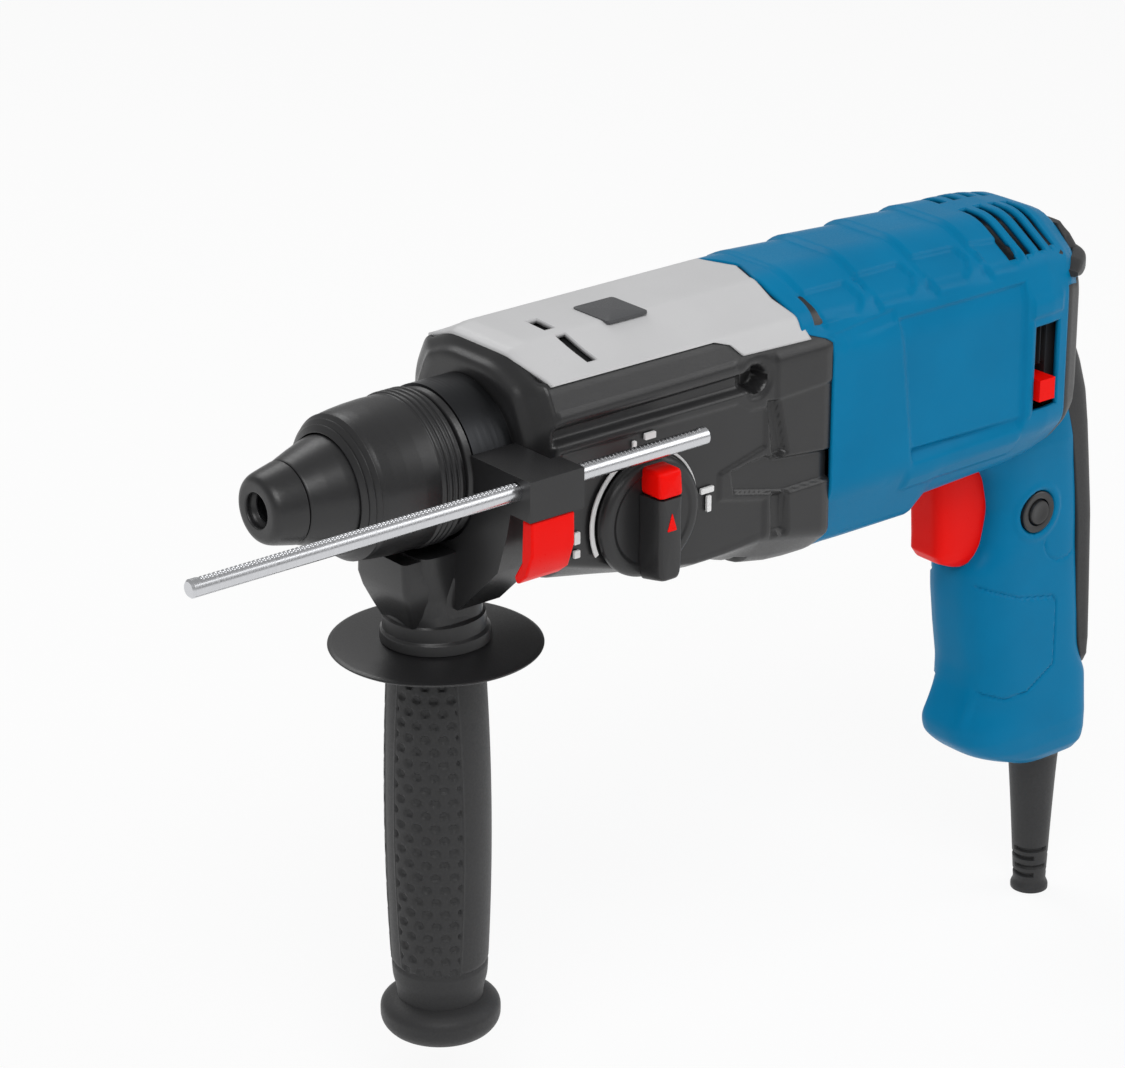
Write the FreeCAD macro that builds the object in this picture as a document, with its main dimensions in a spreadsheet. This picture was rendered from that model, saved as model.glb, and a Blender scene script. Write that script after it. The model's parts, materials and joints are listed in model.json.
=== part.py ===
import FreeCAD, Part
import Sketcher
import math
import os

# Corded rotary hammer with a side handle and a depth rod.
# Frame: origin at the mouth of the tool bore, +X back along the spindle, +Z up, millimetres.

# ---------------------------------------------------------------- driving dimensions

SIZES = {
    # tool bore and chuck
    "bore_dia": 10.0, "guide_len": 14.0, "cap_lip": 4.0, "cap_hole_dia": 10.6,
    "cap_len": 11.2, "cap_front_dia": 19.0, "cap_rear_dia": 27.6,
    "holder_nose_dia": 16.0, "holder_dia": 25.0, "holder_body_dia": 30.0,
    "sleeve_end": 22.6, "sleeve_dia": 36.8, "sleeve_tail": 13.0, "sleeve_travel": 6.0,
    "ring_shoulder": 5.6, "ring_front_dia": 48.4, "ring_dia": 51.0, "ring_end": 60.0,
    "ring_ridge_dia": 52.6, "ring_wall": 3.0, "ball_dia": 7.0, "ball_place": 24.0,
    "shoulder_back": 20.0, "spring_wire": 1.6, "nose_step": 16.0, "ball_gap": 0.15,
    # neck, gear housing and its cover
    "neck_dia": 50.0, "neck_start": 61.0, "neck_bore_dia": 41.0, "housing_start": 81.0,
    "cowl_len": 4.0, "shell_len": 11.0, "housing_end": 208.0, "housing_half_width": 37.0,
    "housing_top": 38.0, "housing_front_drop": 43.0, "housing_rear_drop": 62.0,
    "shoulder_half_width": 32.0, "shoulder_height": 29.5, "cover_wall": 2.4,
    "cover_gap": 0.1, "cavity_half_width": 31.0, "gear_room_dia": 48.0,
    # motor housing
    "motor_top": 40.0, "motor_half_width": 38.5, "motor_end": 338.0, "motor_drop": 62.0,
    "motor_rear_drop": 54.5, "motor_step": 258.0, "motor_wall": 2.6,
    "window_len": 13.0, "window_place": 304.0, "window_top": 2.5, "window_height": 32.0,
    # handle
    "handle_top": -54.0, "handle_foot": -186.0, "grip_half_width": 17.0,
    "grip_front": 303.0, "grip_back": 365.0, "heel_back": 367.0,
    # gear train and motor
    "spindle_gear_teeth": 40, "pinion_teeth": 20, "drive_gear_teeth": 36,
    "motor_pinion_teeth": 9, "gear_width": 12.0, "gear_place": 118.0,
    "inter_drop": 33.0, "motor_axis_drop": 10.0, "mesh_gap": 0.3, "tooth_depth": 1.6,
    "drive_gear_place": 186.0, "drive_gear_width": 8.0, "inter_dia": 12.0,
    "tube_bore_dia": 27.0, "tube_dia": 34.0, "tube_end": 148.0, "run_gap": 0.05,
    "wobble_place": 160.0, "wobble_dia": 30.0, "hub_dia": 18.0, "finger_dia": 7.0,
    "piston_front": 134.0, "piston_end": 169.0, "piston_floor": 17.0,
    "finger_gap": 1.3, "finger_lean": 2.2, "striker_front": 102.0, "striker_len": 23.0,
    "bolt_front": 48.0, "bolt_collar": 79.0, "bolt_dia": 14.0,
    "armature_dia": 46.0, "armature_place": 232.0, "armature_len": 46.0, "shaft_dia": 9.0,
    "stator_dia": 70.0, "fan_dia": 60.0, "fan_place": 213.0, "commutator_dia": 24.0,
    "commutator_place": 290.0, "motor_gap": 0.8,
    # controls
    "dial_place": 124.3, "dial_drop": 22.2, "dial_dia": 42.0, "dial_thick": 4.2,
    "wing_width": 10.0, "wing_reach": 9.6, "dial_shaft_dia": 12.0,
    "trigger_front": 286.0, "trigger_back": 309.0, "trigger_top": -61.0,
    "trigger_foot": -98.0, "trigger_width": 17.0, "trigger_travel": 6.5, "slide_gap": 0.4,
    "lock_place": 331.0, "lock_height": -80.5, "lock_dia": 9.6, "lock_travel": 3.0,
    # side handle
    "stem_place": 66.0, "clamp_start": 62.0, "clamp_end": 80.3, "strap_wall": 1.0,
    "flange_drop": 61.5, "flange_dia": 72.0, "flange_thick": 3.0, "grip_dia": 36.0,
    "grip_end_dia": 31.6, "grip_len": 130.0, "knob_dia": 41.4, "knob_len": 13.0,
    "clamp_bolt_dia": 8.0, "bolt_head_dia": 13.0,
    "bolt_head_len": 4.5, "bolt_head_drop": 3.5, "bolt_head_gap": 0.7, "clamp_bolt_foot": 84.0,
    "rod_dia": 6.0, "rod_side": 48.0, "rod_rise": 4.8,
    "rod_front": -62.0, "rod_len": 203.0, "arm_side": 55.0, "arm_top": 9.7,
    "arm_foot": -4.0, "arm_back": 84.0,
    # cord guard
    "guard_place": 352.0, "guard_top_dia": 20.0, "guard_end_dia": 11.6, "guard_len": 62.0,
    "cord_dia": 7.4, "screw_dia": 4.0, "screw_head_dia": 7.4,
}

# Corners of the bearing plate where its screws sit, as (y, z).
PLATE_SCREWS = ((27.5, 18.0), (-27.5, 18.0), (25.0, -42.5), (-25.0, -42.5))

doc = FreeCAD.newDocument("rotary_hammer")
sheet = doc.addObject("Spreadsheet::Sheet", "Sizes")
for row, (name, value) in enumerate(SIZES.items(), start=1):
    sheet.set(f"A{row}", name)
    sheet.set(f"B{row}", str(value))
    sheet.setAlias(f"B{row}", name)
doc.recompute()


class Dim:
    """A size as a number together with the sheet formula that gives it."""

    def __init__(self, value, text):
        self.value = value
        self.text = text

    def __add__(self, other):
        other = dim(other)
        return Dim(self.value + other.value, f"({self.text} + {other.text})")

    def __sub__(self, other):
        other = dim(other)
        return Dim(self.value - other.value, f"({self.text} - {other.text})")

    def __mul__(self, other):
        other = dim(other)
        return Dim(self.value * other.value, f"({self.text} * {other.text})")

    def __truediv__(self, other):
        other = dim(other)
        return Dim(self.value / other.value, f"({self.text} / {other.text})")

    def __neg__(self):
        return Dim(-self.value, f"(0 - {self.text})")

    __radd__ = __add__
    __rmul__ = __mul__

    def __rsub__(self, other):
        return dim(other) - self


def dim(number):
    """Plain numbers join in as constants."""
    if isinstance(number, Dim):
        return number
    return Dim(float(number), f"({float(number)})")


class SheetReader:
    """sizes.neck_dia reads the cell of that alias."""

    def __getattr__(self, name):
        return Dim(float(sheet.get(name)), f"Sizes.{name}")


sizes = SheetReader()
NODES = {}


# ---------------------------------------------------------------- building helpers

def bind(thing, prop, size):
    thing.setExpression(prop, dim(size).text)


def node(name, thing):
    """Marks an object as a sub-part that is exported."""
    thing.Label = name
    NODES[name] = thing
    return thing


def place(thing, x=0, y=0, z=0):
    for axis, size in zip("xyz", (x, y, z)):
        size = dim(size)
        setattr(thing.Placement.Base, axis, size.value)
        bind(thing, f"Placement.Base.{axis}", size)
    return thing


def plane_of(body, role):
    return next(o for o in body.Origin.OriginFeatures if o.Role == role)


def new_sketch(body, role, offset=0):
    sketch = body.newObject("Sketcher::SketchObject", "Sketch")
    sketch.AttachmentSupport = [(plane_of(body, role), "")]
    sketch.MapMode = "FlatFace"
    offset = dim(offset)
    sketch.AttachmentOffset = FreeCAD.Placement(FreeCAD.Vector(0, 0, offset.value),
                                                FreeCAD.Rotation())
    bind(sketch, "AttachmentOffset.Base.z", offset)
    return sketch


def outline(body, role, points, offset=0):
    """A closed outline of straight lines, each corner's place bound to the sheet."""
    sketch = new_sketch(body, role, offset)
    corners = [(dim(a), dim(b)) for a, b in points]
    count = len(corners)
    spots = [FreeCAD.Vector(a.value, b.value, 0) for a, b in corners]
    lines = [Part.LineSegment(spots[i], spots[(i + 1) % count]) for i in range(count)]
    sketch.addGeometry(lines, False)
    joins = [Sketcher.Constraint("Coincident", i, 2, (i + 1) % count, 1) for i in range(count)]
    sketch.addConstraint(joins)
    for i, (a, b) in enumerate(corners):
        for kind, size in (("DistanceX", a), ("DistanceY", b)):
            index = sketch.addConstraint(Sketcher.Constraint(kind, -1, 1, i, 1, size.value))
            bind(sketch, f"Constraints[{index}]", size)
    return sketch


def rounded_outline(body, role, low_a, high_a, low_b, high_b, radius, offset=0):
    """A rectangle with round corners, bound to the sheet."""
    sketch = new_sketch(body, role, offset)
    la, ha, lb, hb, rad = (dim(v) for v in (low_a, high_a, low_b, high_b, radius))
    a0, a1, b0, b1, r = la.value, ha.value, lb.value, hb.value, rad.value
    vec = FreeCAD.Vector
    normal = vec(0, 0, 1)
    sides = [(vec(a0 + r, b0, 0), vec(a1 - r, b0, 0)), (vec(a1, b0 + r, 0), vec(a1, b1 - r, 0)),
             (vec(a1 - r, b1, 0), vec(a0 + r, b1, 0)), (vec(a0, b1 - r, 0), vec(a0, b0 + r, 0))]
    centres = [vec(a1 - r, b0 + r, 0), vec(a1 - r, b1 - r, 0),
               vec(a0 + r, b1 - r, 0), vec(a0 + r, b0 + r, 0)]
    shapes = []
    for i in range(4):
        shapes.append(Part.LineSegment(*sides[i]))
        start = math.radians(-90 + 90 * i)
        circle = Part.Circle(centres[i], normal, r)
        shapes.append(Part.ArcOfCircle(circle, start, start + math.pi / 2))
    sketch.addGeometry(shapes, False)
    rules = []
    for i in range(4):
        rules.append(Sketcher.Constraint("Tangent", 2 * i, 2, 2 * i + 1, 1))
        rules.append(Sketcher.Constraint("Tangent", 2 * i + 1, 2, (2 * i + 2) % 8, 1))
        rules.append(Sketcher.Constraint("Horizontal" if i % 2 == 0 else "Vertical", 2 * i))
    for i in range(1, 4):
        rules.append(Sketcher.Constraint("Equal", 1, 2 * i + 1))
    sketch.addConstraint(rules)
    for kind, line, size in (("DistanceY", 0, lb), ("DistanceX", 2, ha),
                             ("DistanceY", 4, hb), ("DistanceX", 6, la)):
        index = sketch.addConstraint(Sketcher.Constraint(kind, -1, 1, line, 1, size.value))
        bind(sketch, f"Constraints[{index}]", size)
    index = sketch.addConstraint(Sketcher.Constraint("Radius", 1, r))
    bind(sketch, f"Constraints[{index}]", rad)
    return sketch


AXES = {"x": ("XY_Plane", "H_Axis"), "z": ("XZ_Plane", "V_Axis"), "y": ("XY_Plane", "V_Axis")}


def turned(name, profile, axis="x", x=0, y=0, z=0):
    """A turned piece: profile holds (distance along the axis, radius) pairs."""
    body = doc.addObject("PartDesign::Body", name)
    role, line = AXES[axis]
    pairs = profile if axis == "x" else [(radius, along) for along, radius in profile]
    sketch = outline(body, role, pairs)
    turn = body.newObject("PartDesign::Revolution", "Turn")
    turn.Profile = sketch
    turn.ReferenceAxis = (sketch, [line])
    turn.Angle = 360
    place(body, x, y, z)
    return body


def padded(name, role, points, start, length):
    """A straight extrusion of an outline along its plane's normal."""
    body = doc.addObject("PartDesign::Body", name)
    sketch = outline(body, role, points, start)
    pad = body.newObject("PartDesign::Pad", "Pad")
    pad.Profile = sketch
    bind(pad, "Length", length)
    return body


def lofted(name, sketches_of, ruled=True):
    """A loft through the sketches that the given function makes in a new body."""
    body = doc.addObject("PartDesign::Body", name)
    sketches = sketches_of(body)
    loft = body.newObject("PartDesign::AdditiveLoft", "Loft")
    loft.Profile = sketches[0]
    loft.Sections = sketches[1:]
    loft.Ruled = ruled
    return body


def box(name, x0, x1, y0, y1, z0, z1):
    """A block between two corners."""
    block = doc.addObject("Part::Box", name)
    for prop, low, high in (("Length", x0, x1), ("Width", y0, y1), ("Height", z0, z1)):
        bind(block, prop, dim(high) - low)
    return place(block, x0, y0, z0)


TURNS = {"x": FreeCAD.Rotation(FreeCAD.Vector(0, 1, 0), 90),
         "y": FreeCAD.Rotation(FreeCAD.Vector(1, 0, 0), -90),
         "z": FreeCAD.Rotation()}


def cylinder(name, dia, length, axis, x=0, y=0, z=0):
    """A cylinder that starts at the given point and runs towards plus its axis."""
    rod = doc.addObject("Part::Cylinder", name)
    bind(rod, "Radius", dim(dia) / 2)
    bind(rod, "Height", length)
    rod.Placement.Rotation = TURNS[axis]
    return place(rod, x, y, z)


def ball(name, dia, x=0, y=0, z=0):
    sphere = doc.addObject("Part::Sphere", name)
    bind(sphere, "Radius", dim(dia) / 2)
    return place(sphere, x, y, z)


def fuse(name, things):
    result = doc.addObject("Part::MultiFuse", name)
    result.Shapes = things
    return result


def cut(name, base, tools):
    result = doc.addObject("Part::Cut", name)
    result.Base = base
    result.Tool = tools[0] if len(tools) == 1 else fuse(name + "_tools", tools)
    return result


def common(name, first, second):
    result = doc.addObject("Part::Common", name)
    result.Base = first
    result.Tool = second
    return result


def mirrored_points(half):
    """Half an outline, from the top centre to the bottom centre, completed on the other side."""
    return list(half) + [(-dim(y), z) for y, z in reversed(half)]


# ---------------------------------------------------------------- chuck and spindle

def make_dust_cap():
    rear = sizes.cap_len - sizes.cap_lip
    hole = sizes.cap_hole_dia / 2
    seat = sizes.holder_nose_dia / 2 + 0.1
    return turned("dust_cap", [
        (-sizes.cap_lip, hole + 1.2), (-sizes.cap_lip, sizes.cap_front_dia / 2 - 1.6),
        (-sizes.cap_lip + 1.4, sizes.cap_front_dia / 2), (0.6, sizes.cap_front_dia / 2 + 1.3),
        (rear - 1.2, sizes.cap_rear_dia / 2 - 0.4), (rear, sizes.cap_rear_dia / 2 - 0.4),
        (rear, seat), (-0.1, seat), (-0.1, hole), (-sizes.cap_lip + 1.2, hole)])


def make_locking_sleeve():
    """Slides back into the change ring against its spring."""
    start = sizes.cap_len - sizes.cap_lip + 0.3
    end = sizes.sleeve_end + sizes.sleeve_tail
    bore = sizes.holder_dia / 2 + 0.3
    return turned("locking_sleeve", [
        (start, sizes.holder_nose_dia / 2 + 1.0), (start, sizes.cap_rear_dia / 2),
        (start + 6, sizes.cap_rear_dia / 2 + 2.4), (sizes.sleeve_end, sizes.sleeve_dia / 2),
        (end, sizes.sleeve_dia / 2), (end, sizes.sleeve_dia / 2 - 2.0),
        (sizes.sleeve_end, sizes.sleeve_dia / 2 - 2.0), (sizes.sleeve_end - 1, bore),
        (start + 1.9, bore), (start + 1.5, sizes.holder_nose_dia / 2 + 1.0)])


def make_change_ring():
    """The large knurl-free ring behind the sleeve, with three fine ridges in front."""
    front = sizes.sleeve_end + 0.3
    shoulder = front + sizes.ring_shoulder
    low = sizes.sleeve_dia / 2 + 0.4
    rise = (sizes.ring_front_dia / 2 - low - 0.8) / 3
    profile = [(front, low)]
    for step in range(3):
        radius = low + 0.8 + rise * step
        along = front + sizes.ring_shoulder * (step / 3)
        profile += [(along, radius), (along + 1.2, radius + 0.5), (along + 1.3, radius + 0.1)]
    profile += [
        (shoulder, sizes.ring_front_dia / 2), (shoulder + 8, sizes.ring_dia / 2),
        (sizes.ring_end - 5.2, sizes.ring_dia / 2), (sizes.ring_end - 4.6, sizes.ring_ridge_dia / 2),
        (sizes.ring_end - 2.8, sizes.ring_ridge_dia / 2), (sizes.ring_end - 2.4, sizes.ring_dia / 2),
        (sizes.ring_end - 1.8, sizes.ring_ridge_dia / 2), (sizes.ring_end, sizes.ring_ridge_dia / 2 - 0.5),
        (sizes.ring_end, sizes.holder_body_dia / 2 + 0.1),
        (sizes.ring_end - 8, sizes.holder_body_dia / 2 + 0.1),
        (sizes.ring_end - 8, sizes.ring_dia / 2 - sizes.ring_wall),
        (shoulder + 1, sizes.ring_dia / 2 - sizes.ring_wall), (shoulder, low)]
    return turned("change_ring", profile)


def make_tool_holder():
    """Tool holder and hammer tube in one, with pockets for the locking balls."""
    shoulder = sizes.bolt_collar - 1
    step = sizes.ring_end - sizes.shoulder_back
    blank = turned("tool_holder_blank", [
        (0, sizes.bore_dia / 2), (0, sizes.holder_nose_dia / 2),
        (sizes.nose_step, sizes.holder_nose_dia / 2), (sizes.nose_step, sizes.holder_dia / 2),
        (step, sizes.holder_dia / 2), (step, sizes.holder_body_dia / 2),
        (shoulder - 2, sizes.holder_body_dia / 2), (shoulder - 2, sizes.tube_dia / 2),
        (sizes.tube_end, sizes.tube_dia / 2), (sizes.tube_end, sizes.tube_bore_dia / 2),
        (shoulder, sizes.tube_bore_dia / 2), (shoulder, sizes.bolt_dia / 2 + sizes.run_gap),
        (sizes.bolt_front - 2, sizes.bolt_dia / 2 + sizes.run_gap),
        (sizes.bolt_front - 2, sizes.bore_dia / 2 + 0.3), (sizes.guide_len, sizes.bore_dia / 2 + 0.3),
        (sizes.guide_len, sizes.bore_dia / 2)])
    pocket = cylinder("ball_pockets", sizes.ball_dia + 2 * sizes.ball_gap, sizes.holder_dia + 2, "z",
                      sizes.ball_place, 0, -(sizes.holder_dia / 2) - 1)
    return cut("tool_holder", blank, [pocket])


def make_locking_ball(name, side):
    rise = (sizes.holder_dia / 2 - sizes.ball_dia / 2 - 0.4) * side
    return ball(name, sizes.ball_dia, sizes.ball_place, 0, rise)


def make_sleeve_spring():
    """Stands in for the coil: a thin tube between sleeve and holder shoulder."""
    start = sizes.sleeve_end + sizes.sleeve_travel + sizes.slide_gap
    end = sizes.ring_end - sizes.shoulder_back
    inner = sizes.holder_dia / 2 + sizes.slide_gap
    outer = inner + sizes.spring_wire
    return turned("sleeve_spring", [(start, inner), (start, outer), (end, outer), (end, inner)])


def gear(name, teeth, outer_radius, bore_radius, width, x, z):
    """A spur wheel with short straight teeth, made from Part's own functions."""
    corners = []
    for tooth in range(int(teeth)):
        for share, depth in ((0.0, 0), (0.42, 0), (0.56, 1), (0.86, 1)):
            angle = 2 * math.pi * (tooth + share) / teeth
            radius = outer_radius - depth * sizes.tooth_depth.value
            corners.append(FreeCAD.Vector(0, radius * math.cos(angle), radius * math.sin(angle)))
    corners.append(corners[0])
    disc = Part.Face(Part.makePolygon(corners)).extrude(FreeCAD.Vector(width, 0, 0))
    bore = Part.makeCylinder(bore_radius, width + 2, FreeCAD.Vector(-1, 0, 0), FreeCAD.Vector(1, 0, 0))
    wheel = doc.addObject("Part::Feature", name)
    wheel.Shape = disc.cut(bore)
    wheel.Placement = FreeCAD.Placement(FreeCAD.Vector(x, 0, z), FreeCAD.Rotation())
    return wheel


def pitch_radii():
    """Outer radii of the four wheels, each pair kept apart by the mesh gap."""
    s = sizes
    first = s.inter_drop.value * s.spindle_gear_teeth.value / (
        s.spindle_gear_teeth.value + s.pinion_teeth.value)
    apart = s.inter_drop.value - s.motor_axis_drop.value
    second = apart * s.drive_gear_teeth.value / (s.drive_gear_teeth.value + s.motor_pinion_teeth.value)
    gap = s.mesh_gap.value / 2
    return first - gap, s.inter_drop.value - first - gap, second - gap, apart - second - gap


def make_gears():
    spindle, pinion, drive, motor = pitch_radii()
    s = sizes
    node("spindle_gear", gear("spindle_gear", s.spindle_gear_teeth.value, spindle,
                              s.tube_dia.value / 2 + 0.08, s.gear_width.value, s.gear_place.value, 0))
    node("intermediate_pinion", gear("intermediate_pinion", s.pinion_teeth.value, pinion,
                                     s.inter_dia.value / 2 + 0.08, s.gear_width.value,
                                     s.gear_place.value, -s.inter_drop.value))
    node("intermediate_gear", gear("intermediate_gear", s.drive_gear_teeth.value, drive,
                                   s.inter_dia.value / 2 + 0.08, s.drive_gear_width.value,
                                   s.drive_gear_place.value, -s.inter_drop.value))
    return motor


# ---------------------------------------------------------------- hammer mechanism

def make_impact_bolt():
    radius = sizes.bolt_dia / 2
    collar = sizes.bolt_collar + 0.3
    return turned("impact_bolt", [
        (sizes.bolt_front, 0), (sizes.bolt_front, radius - 1.5), (sizes.bolt_front + 1.5, radius),
        (collar, radius), (collar, sizes.tube_bore_dia / 2 - 1), (collar + 5, sizes.tube_bore_dia / 2 - 1),
        (collar + 5, radius - 1), (collar + 12, radius - 1), (collar + 12, 0)])


def make_striker():
    start = sizes.striker_front
    end = start + sizes.striker_len
    outer = sizes.tube_bore_dia / 2 - sizes.run_gap
    return turned("striker", [
        (start, 0), (start, 6.5), (start + 5, 6.5), (start + 6, outer), (end - 8, outer),
        (end - 8, outer - 1.6), (end - 5, outer - 1.6), (end - 5, outer), (end, outer), (end, 0)])


def make_striker_seal():
    """Rubber ring in the striker's groove."""
    middle = sizes.striker_front + sizes.striker_len - 6.5
    outer = sizes.tube_bore_dia / 2 - sizes.run_gap
    return turned("striker_seal", [(middle - 1.3, outer - 1.5), (middle - 1.3, outer - 0.1),
                                   (middle + 1.3, outer - 0.1), (middle + 1.3, outer - 1.5)])


def make_piston():
    outer = sizes.tube_bore_dia / 2 - sizes.run_gap
    end = sizes.piston_end
    blank = turned("piston_blank", [
        (sizes.piston_front, outer - 2.6), (sizes.piston_front, outer), (end, outer), (end, 0),
        (end - sizes.piston_floor, 0),
        (end - sizes.piston_floor, outer - 2.6)])
    across = sizes.finger_dia / 2 + sizes.finger_gap
    along = across + sizes.finger_lean
    slot = box("piston_slot", sizes.wobble_place - along, sizes.wobble_place + along,
               -across, across, -(sizes.tube_bore_dia / 2) - 1, 7)
    return cut("piston", blank, [slot])


def make_wobble_ring():
    """Swings about its centre on the round hub; the finger drives the piston."""
    outer = sizes.wobble_dia / 2
    inner = sizes.hub_dia / 2 + 0.4
    ring = turned("wobble_ring_blank", [(-3, inner), (-3, outer), (3, outer), (3, inner)],
                  x=sizes.wobble_place, z=-sizes.inter_drop)
    finger = cylinder("wobble_finger", sizes.finger_dia, sizes.inter_drop - outer + 1, "z",
                      sizes.wobble_place, 0, outer - sizes.inter_drop - 1)
    return fuse("wobble_ring", [ring, finger])


def make_intermediate_shaft():
    radius = sizes.inter_dia / 2
    hub = sizes.hub_dia / 2
    middle = sizes.wobble_place
    return turned("intermediate_shaft", [
        (95, 0), (95, radius - 1), (104, radius - 1), (104, radius), (middle - 7, radius),
        (middle - 5, hub - 1.4), (middle, hub), (middle + 5, hub - 1.4), (middle + 7, radius),
        (196.5, radius), (196.5, radius - 1), (205, radius - 1), (205, 0)], z=-sizes.inter_drop)


# ---------------------------------------------------------------- gear housing

def housing_section(x, inset=0, top=None):
    """Corners of the housing's cross-section at a place along the spindle."""
    span = sizes.housing_end - sizes.housing_start
    share = (dim(x) - sizes.housing_start) / span
    drop = sizes.housing_front_drop + (sizes.housing_rear_drop - sizes.housing_front_drop) * share
    top = sizes.housing_top if top is None else top
    side = sizes.housing_half_width
    half = [
        (15, top - inset), (sizes.shoulder_half_width - inset, sizes.shoulder_height - inset),
        (side - inset, 20), (side - inset, -(drop * 0.62)),
        (24, -drop + inset), (12, -drop + inset)]
    return mirrored_points(half)


def front_section():
    half = [(12, 33), (24, 27), (31, 11), (31, -12), (21, -30), (12, -34)]
    return mirrored_points(half)


def make_gear_housing():
    """Black shell: the neck in front, a faceted body, rooms for the gears, and a seat for the cover."""
    def sections(body):
        second = sizes.housing_start + sizes.shell_len
        return [outline(body, "YZ_Plane", front_section(), sizes.housing_start),
                outline(body, "YZ_Plane", housing_section(second), second),
                outline(body, "YZ_Plane", housing_section(sizes.housing_end), sizes.housing_end)]
    shell = lofted("housing_shell", sections)
    neck = turned("housing_neck", [
        (sizes.neck_start, sizes.neck_bore_dia / 2), (sizes.neck_start, sizes.neck_dia / 2 - 0.8),
        (sizes.neck_start + 0.8, sizes.neck_dia / 2), (sizes.housing_start + 6, sizes.neck_dia / 2),
        (sizes.housing_start + 6, sizes.neck_bore_dia / 2)])
    boss = cylinder("dial_boss", sizes.dial_dia + 3, 10, "y", sizes.dial_place,
                    -sizes.housing_half_width, -sizes.dial_drop)
    whole = fuse("housing_whole", [shell, neck, boss])
    room = sizes.cavity_half_width
    start = sizes.housing_start + 8
    rear = sizes.housing_end + 1
    tools = [
        cylinder("neck_bore", sizes.neck_bore_dia, 30, "x", sizes.neck_start - 1),
        cylinder("gear_room", sizes.gear_room_dia, rear - start, "x", start),
        box("side_room", start + 6, rear, -room, room, -36, 15),
        box("shaft_room", start + 4, rear, -16, 16, -40, 0),
        box("pinion_room", 114, rear, -20, 20, -47, 0),
        box("wobble_room", 148, rear, -20, 20, -50.5, 0),
        cylinder("bearing_seat", sizes.inter_dia + 8.2, 9, "x", 94.5, 0, -sizes.inter_drop),
        box("drive_room", 178, rear, -21, 21, -53.5, 0),
        box("plate_room", 197.8, rear, -33, 33, -53.5, 25),
        cylinder("dial_hole", sizes.dial_shaft_dia + 0.2, 14, "y", sizes.dial_place,
                 -sizes.housing_half_width - 2, -sizes.dial_drop),
        box("screw_channel", 90, 175, -sizes.housing_half_width - 1, -sizes.housing_half_width + 2.4,
            8.5, 15.5),
        cylinder("screw_hole", 9, 7, "y", 175, -sizes.housing_half_width - 1, 12.5),
        box("rear_channel", 184, 189, -sizes.housing_half_width - 1, -sizes.housing_half_width + 1.6,
            -40, 8),
    ]
    for i, (y, z) in enumerate(PLATE_SCREWS):
        tools.append(cylinder(f"screw_thread_{i}", sizes.screw_dia + 0.2, 16, "x", 183, y, z))
    tools.append(cover_seat())
    return cut("gear_housing", whole, tools)


def cover_points(top, lower, low, wall):
    """Hat-shaped section of the cover: outer line, then back along the inner line."""
    outer = [(lower, low), (sizes.shoulder_half_width + 0.2, sizes.shoulder_height), (15, top)]
    outer = outer + [(-dim(y), z) for y, z in reversed(outer)]
    inner = [(lower - wall * 1.2, low),
             (sizes.shoulder_half_width - wall, sizes.shoulder_height - wall * 0.7),
             (15, top - wall)]
    inner = inner + [(-dim(y), z) for y, z in reversed(inner)]
    return outer + list(reversed(inner))


def cover_path():
    """Places along the cover with the height of its lower edge."""
    start = sizes.housing_start + sizes.cowl_len
    end = sizes.housing_end - 1.0
    return [(start, 27.0, 1.2), (start + 8, 27.0, 0.2), (end - 34, 25.5, 0),
            (end - 26, 20.5, 0), (end, 20.5, 0)]


def cover_width(low):
    """Half width of the housing at a height between the shoulder and the side."""
    side = sizes.housing_half_width
    shoulder = sizes.shoulder_half_width
    share = (sizes.shoulder_height - low) / (sizes.shoulder_height - 20)
    return shoulder + (side - shoulder) * share + 0.2


def make_top_cover():
    def sections(body):
        made = []
        for x, low, dip in cover_path():
            top = sizes.housing_top + 0.6 - dip
            points = cover_points(top, cover_width(low), low, sizes.cover_wall)
            made.append(outline(body, "YZ_Plane", points, x))
        return made
    shell = lofted("cover_shell", sections)
    slots = []
    for i in range(2):
        x = 108 + 13 * i
        slots.append(box(f"cover_slot_{i}", x, x + 8, -22, -13, 28, 42))
    return cut("top_cover", shell, slots)


def cover_seat():
    """The room that the cover fills, a little larger than the cover."""
    def sections(body):
        made = []
        places = cover_path()
        for i, (x, low, dip) in enumerate(places):
            top = sizes.housing_top + 4
            gap = sizes.cover_gap
            wall = sizes.cover_wall + gap
            inner_low = low - gap
            outer = [(sizes.housing_half_width + 6, inner_low), (sizes.housing_half_width + 6, top + 4)]
            outer = outer + [(-dim(y), z) for y, z in reversed(outer)]
            inner = [(cover_width(low) - wall * 1.2, inner_low),
                     (sizes.shoulder_half_width - wall, sizes.shoulder_height - wall * 0.7),
                     (15, sizes.housing_top + 0.6 - dip - wall)]
            inner = inner + [(-dim(y), z) for y, z in reversed(inner)]
            if i == 0:
                x = x - gap
            if i == len(places) - 1:
                x = x + 2
            made.append(outline(body, "YZ_Plane", outer + list(reversed(inner)), x))
        return made
    return lofted("cover_seat", sections)


def make_bearing_plate():
    """Carries the armature's front bearing and the intermediate shaft's rear end."""
    plate = box("plate_blank", 198, 206, -31.8, 31.8, -52.8, 22)
    holes = [cylinder("plate_motor_hole", 24.2, 12, "x", 196, 0, -sizes.motor_axis_drop),
             cylinder("plate_shaft_hole", sizes.inter_dia - 2 + 0.1, 12, "x", 196, 0, -sizes.inter_drop)]
    for i, (y, z) in enumerate(PLATE_SCREWS):
        holes.append(cylinder(f"plate_screw_hole_{i}", sizes.screw_dia + 0.4, 12, "x", 196, y, z))
    return cut("bearing_plate", plate, holes)


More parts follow.
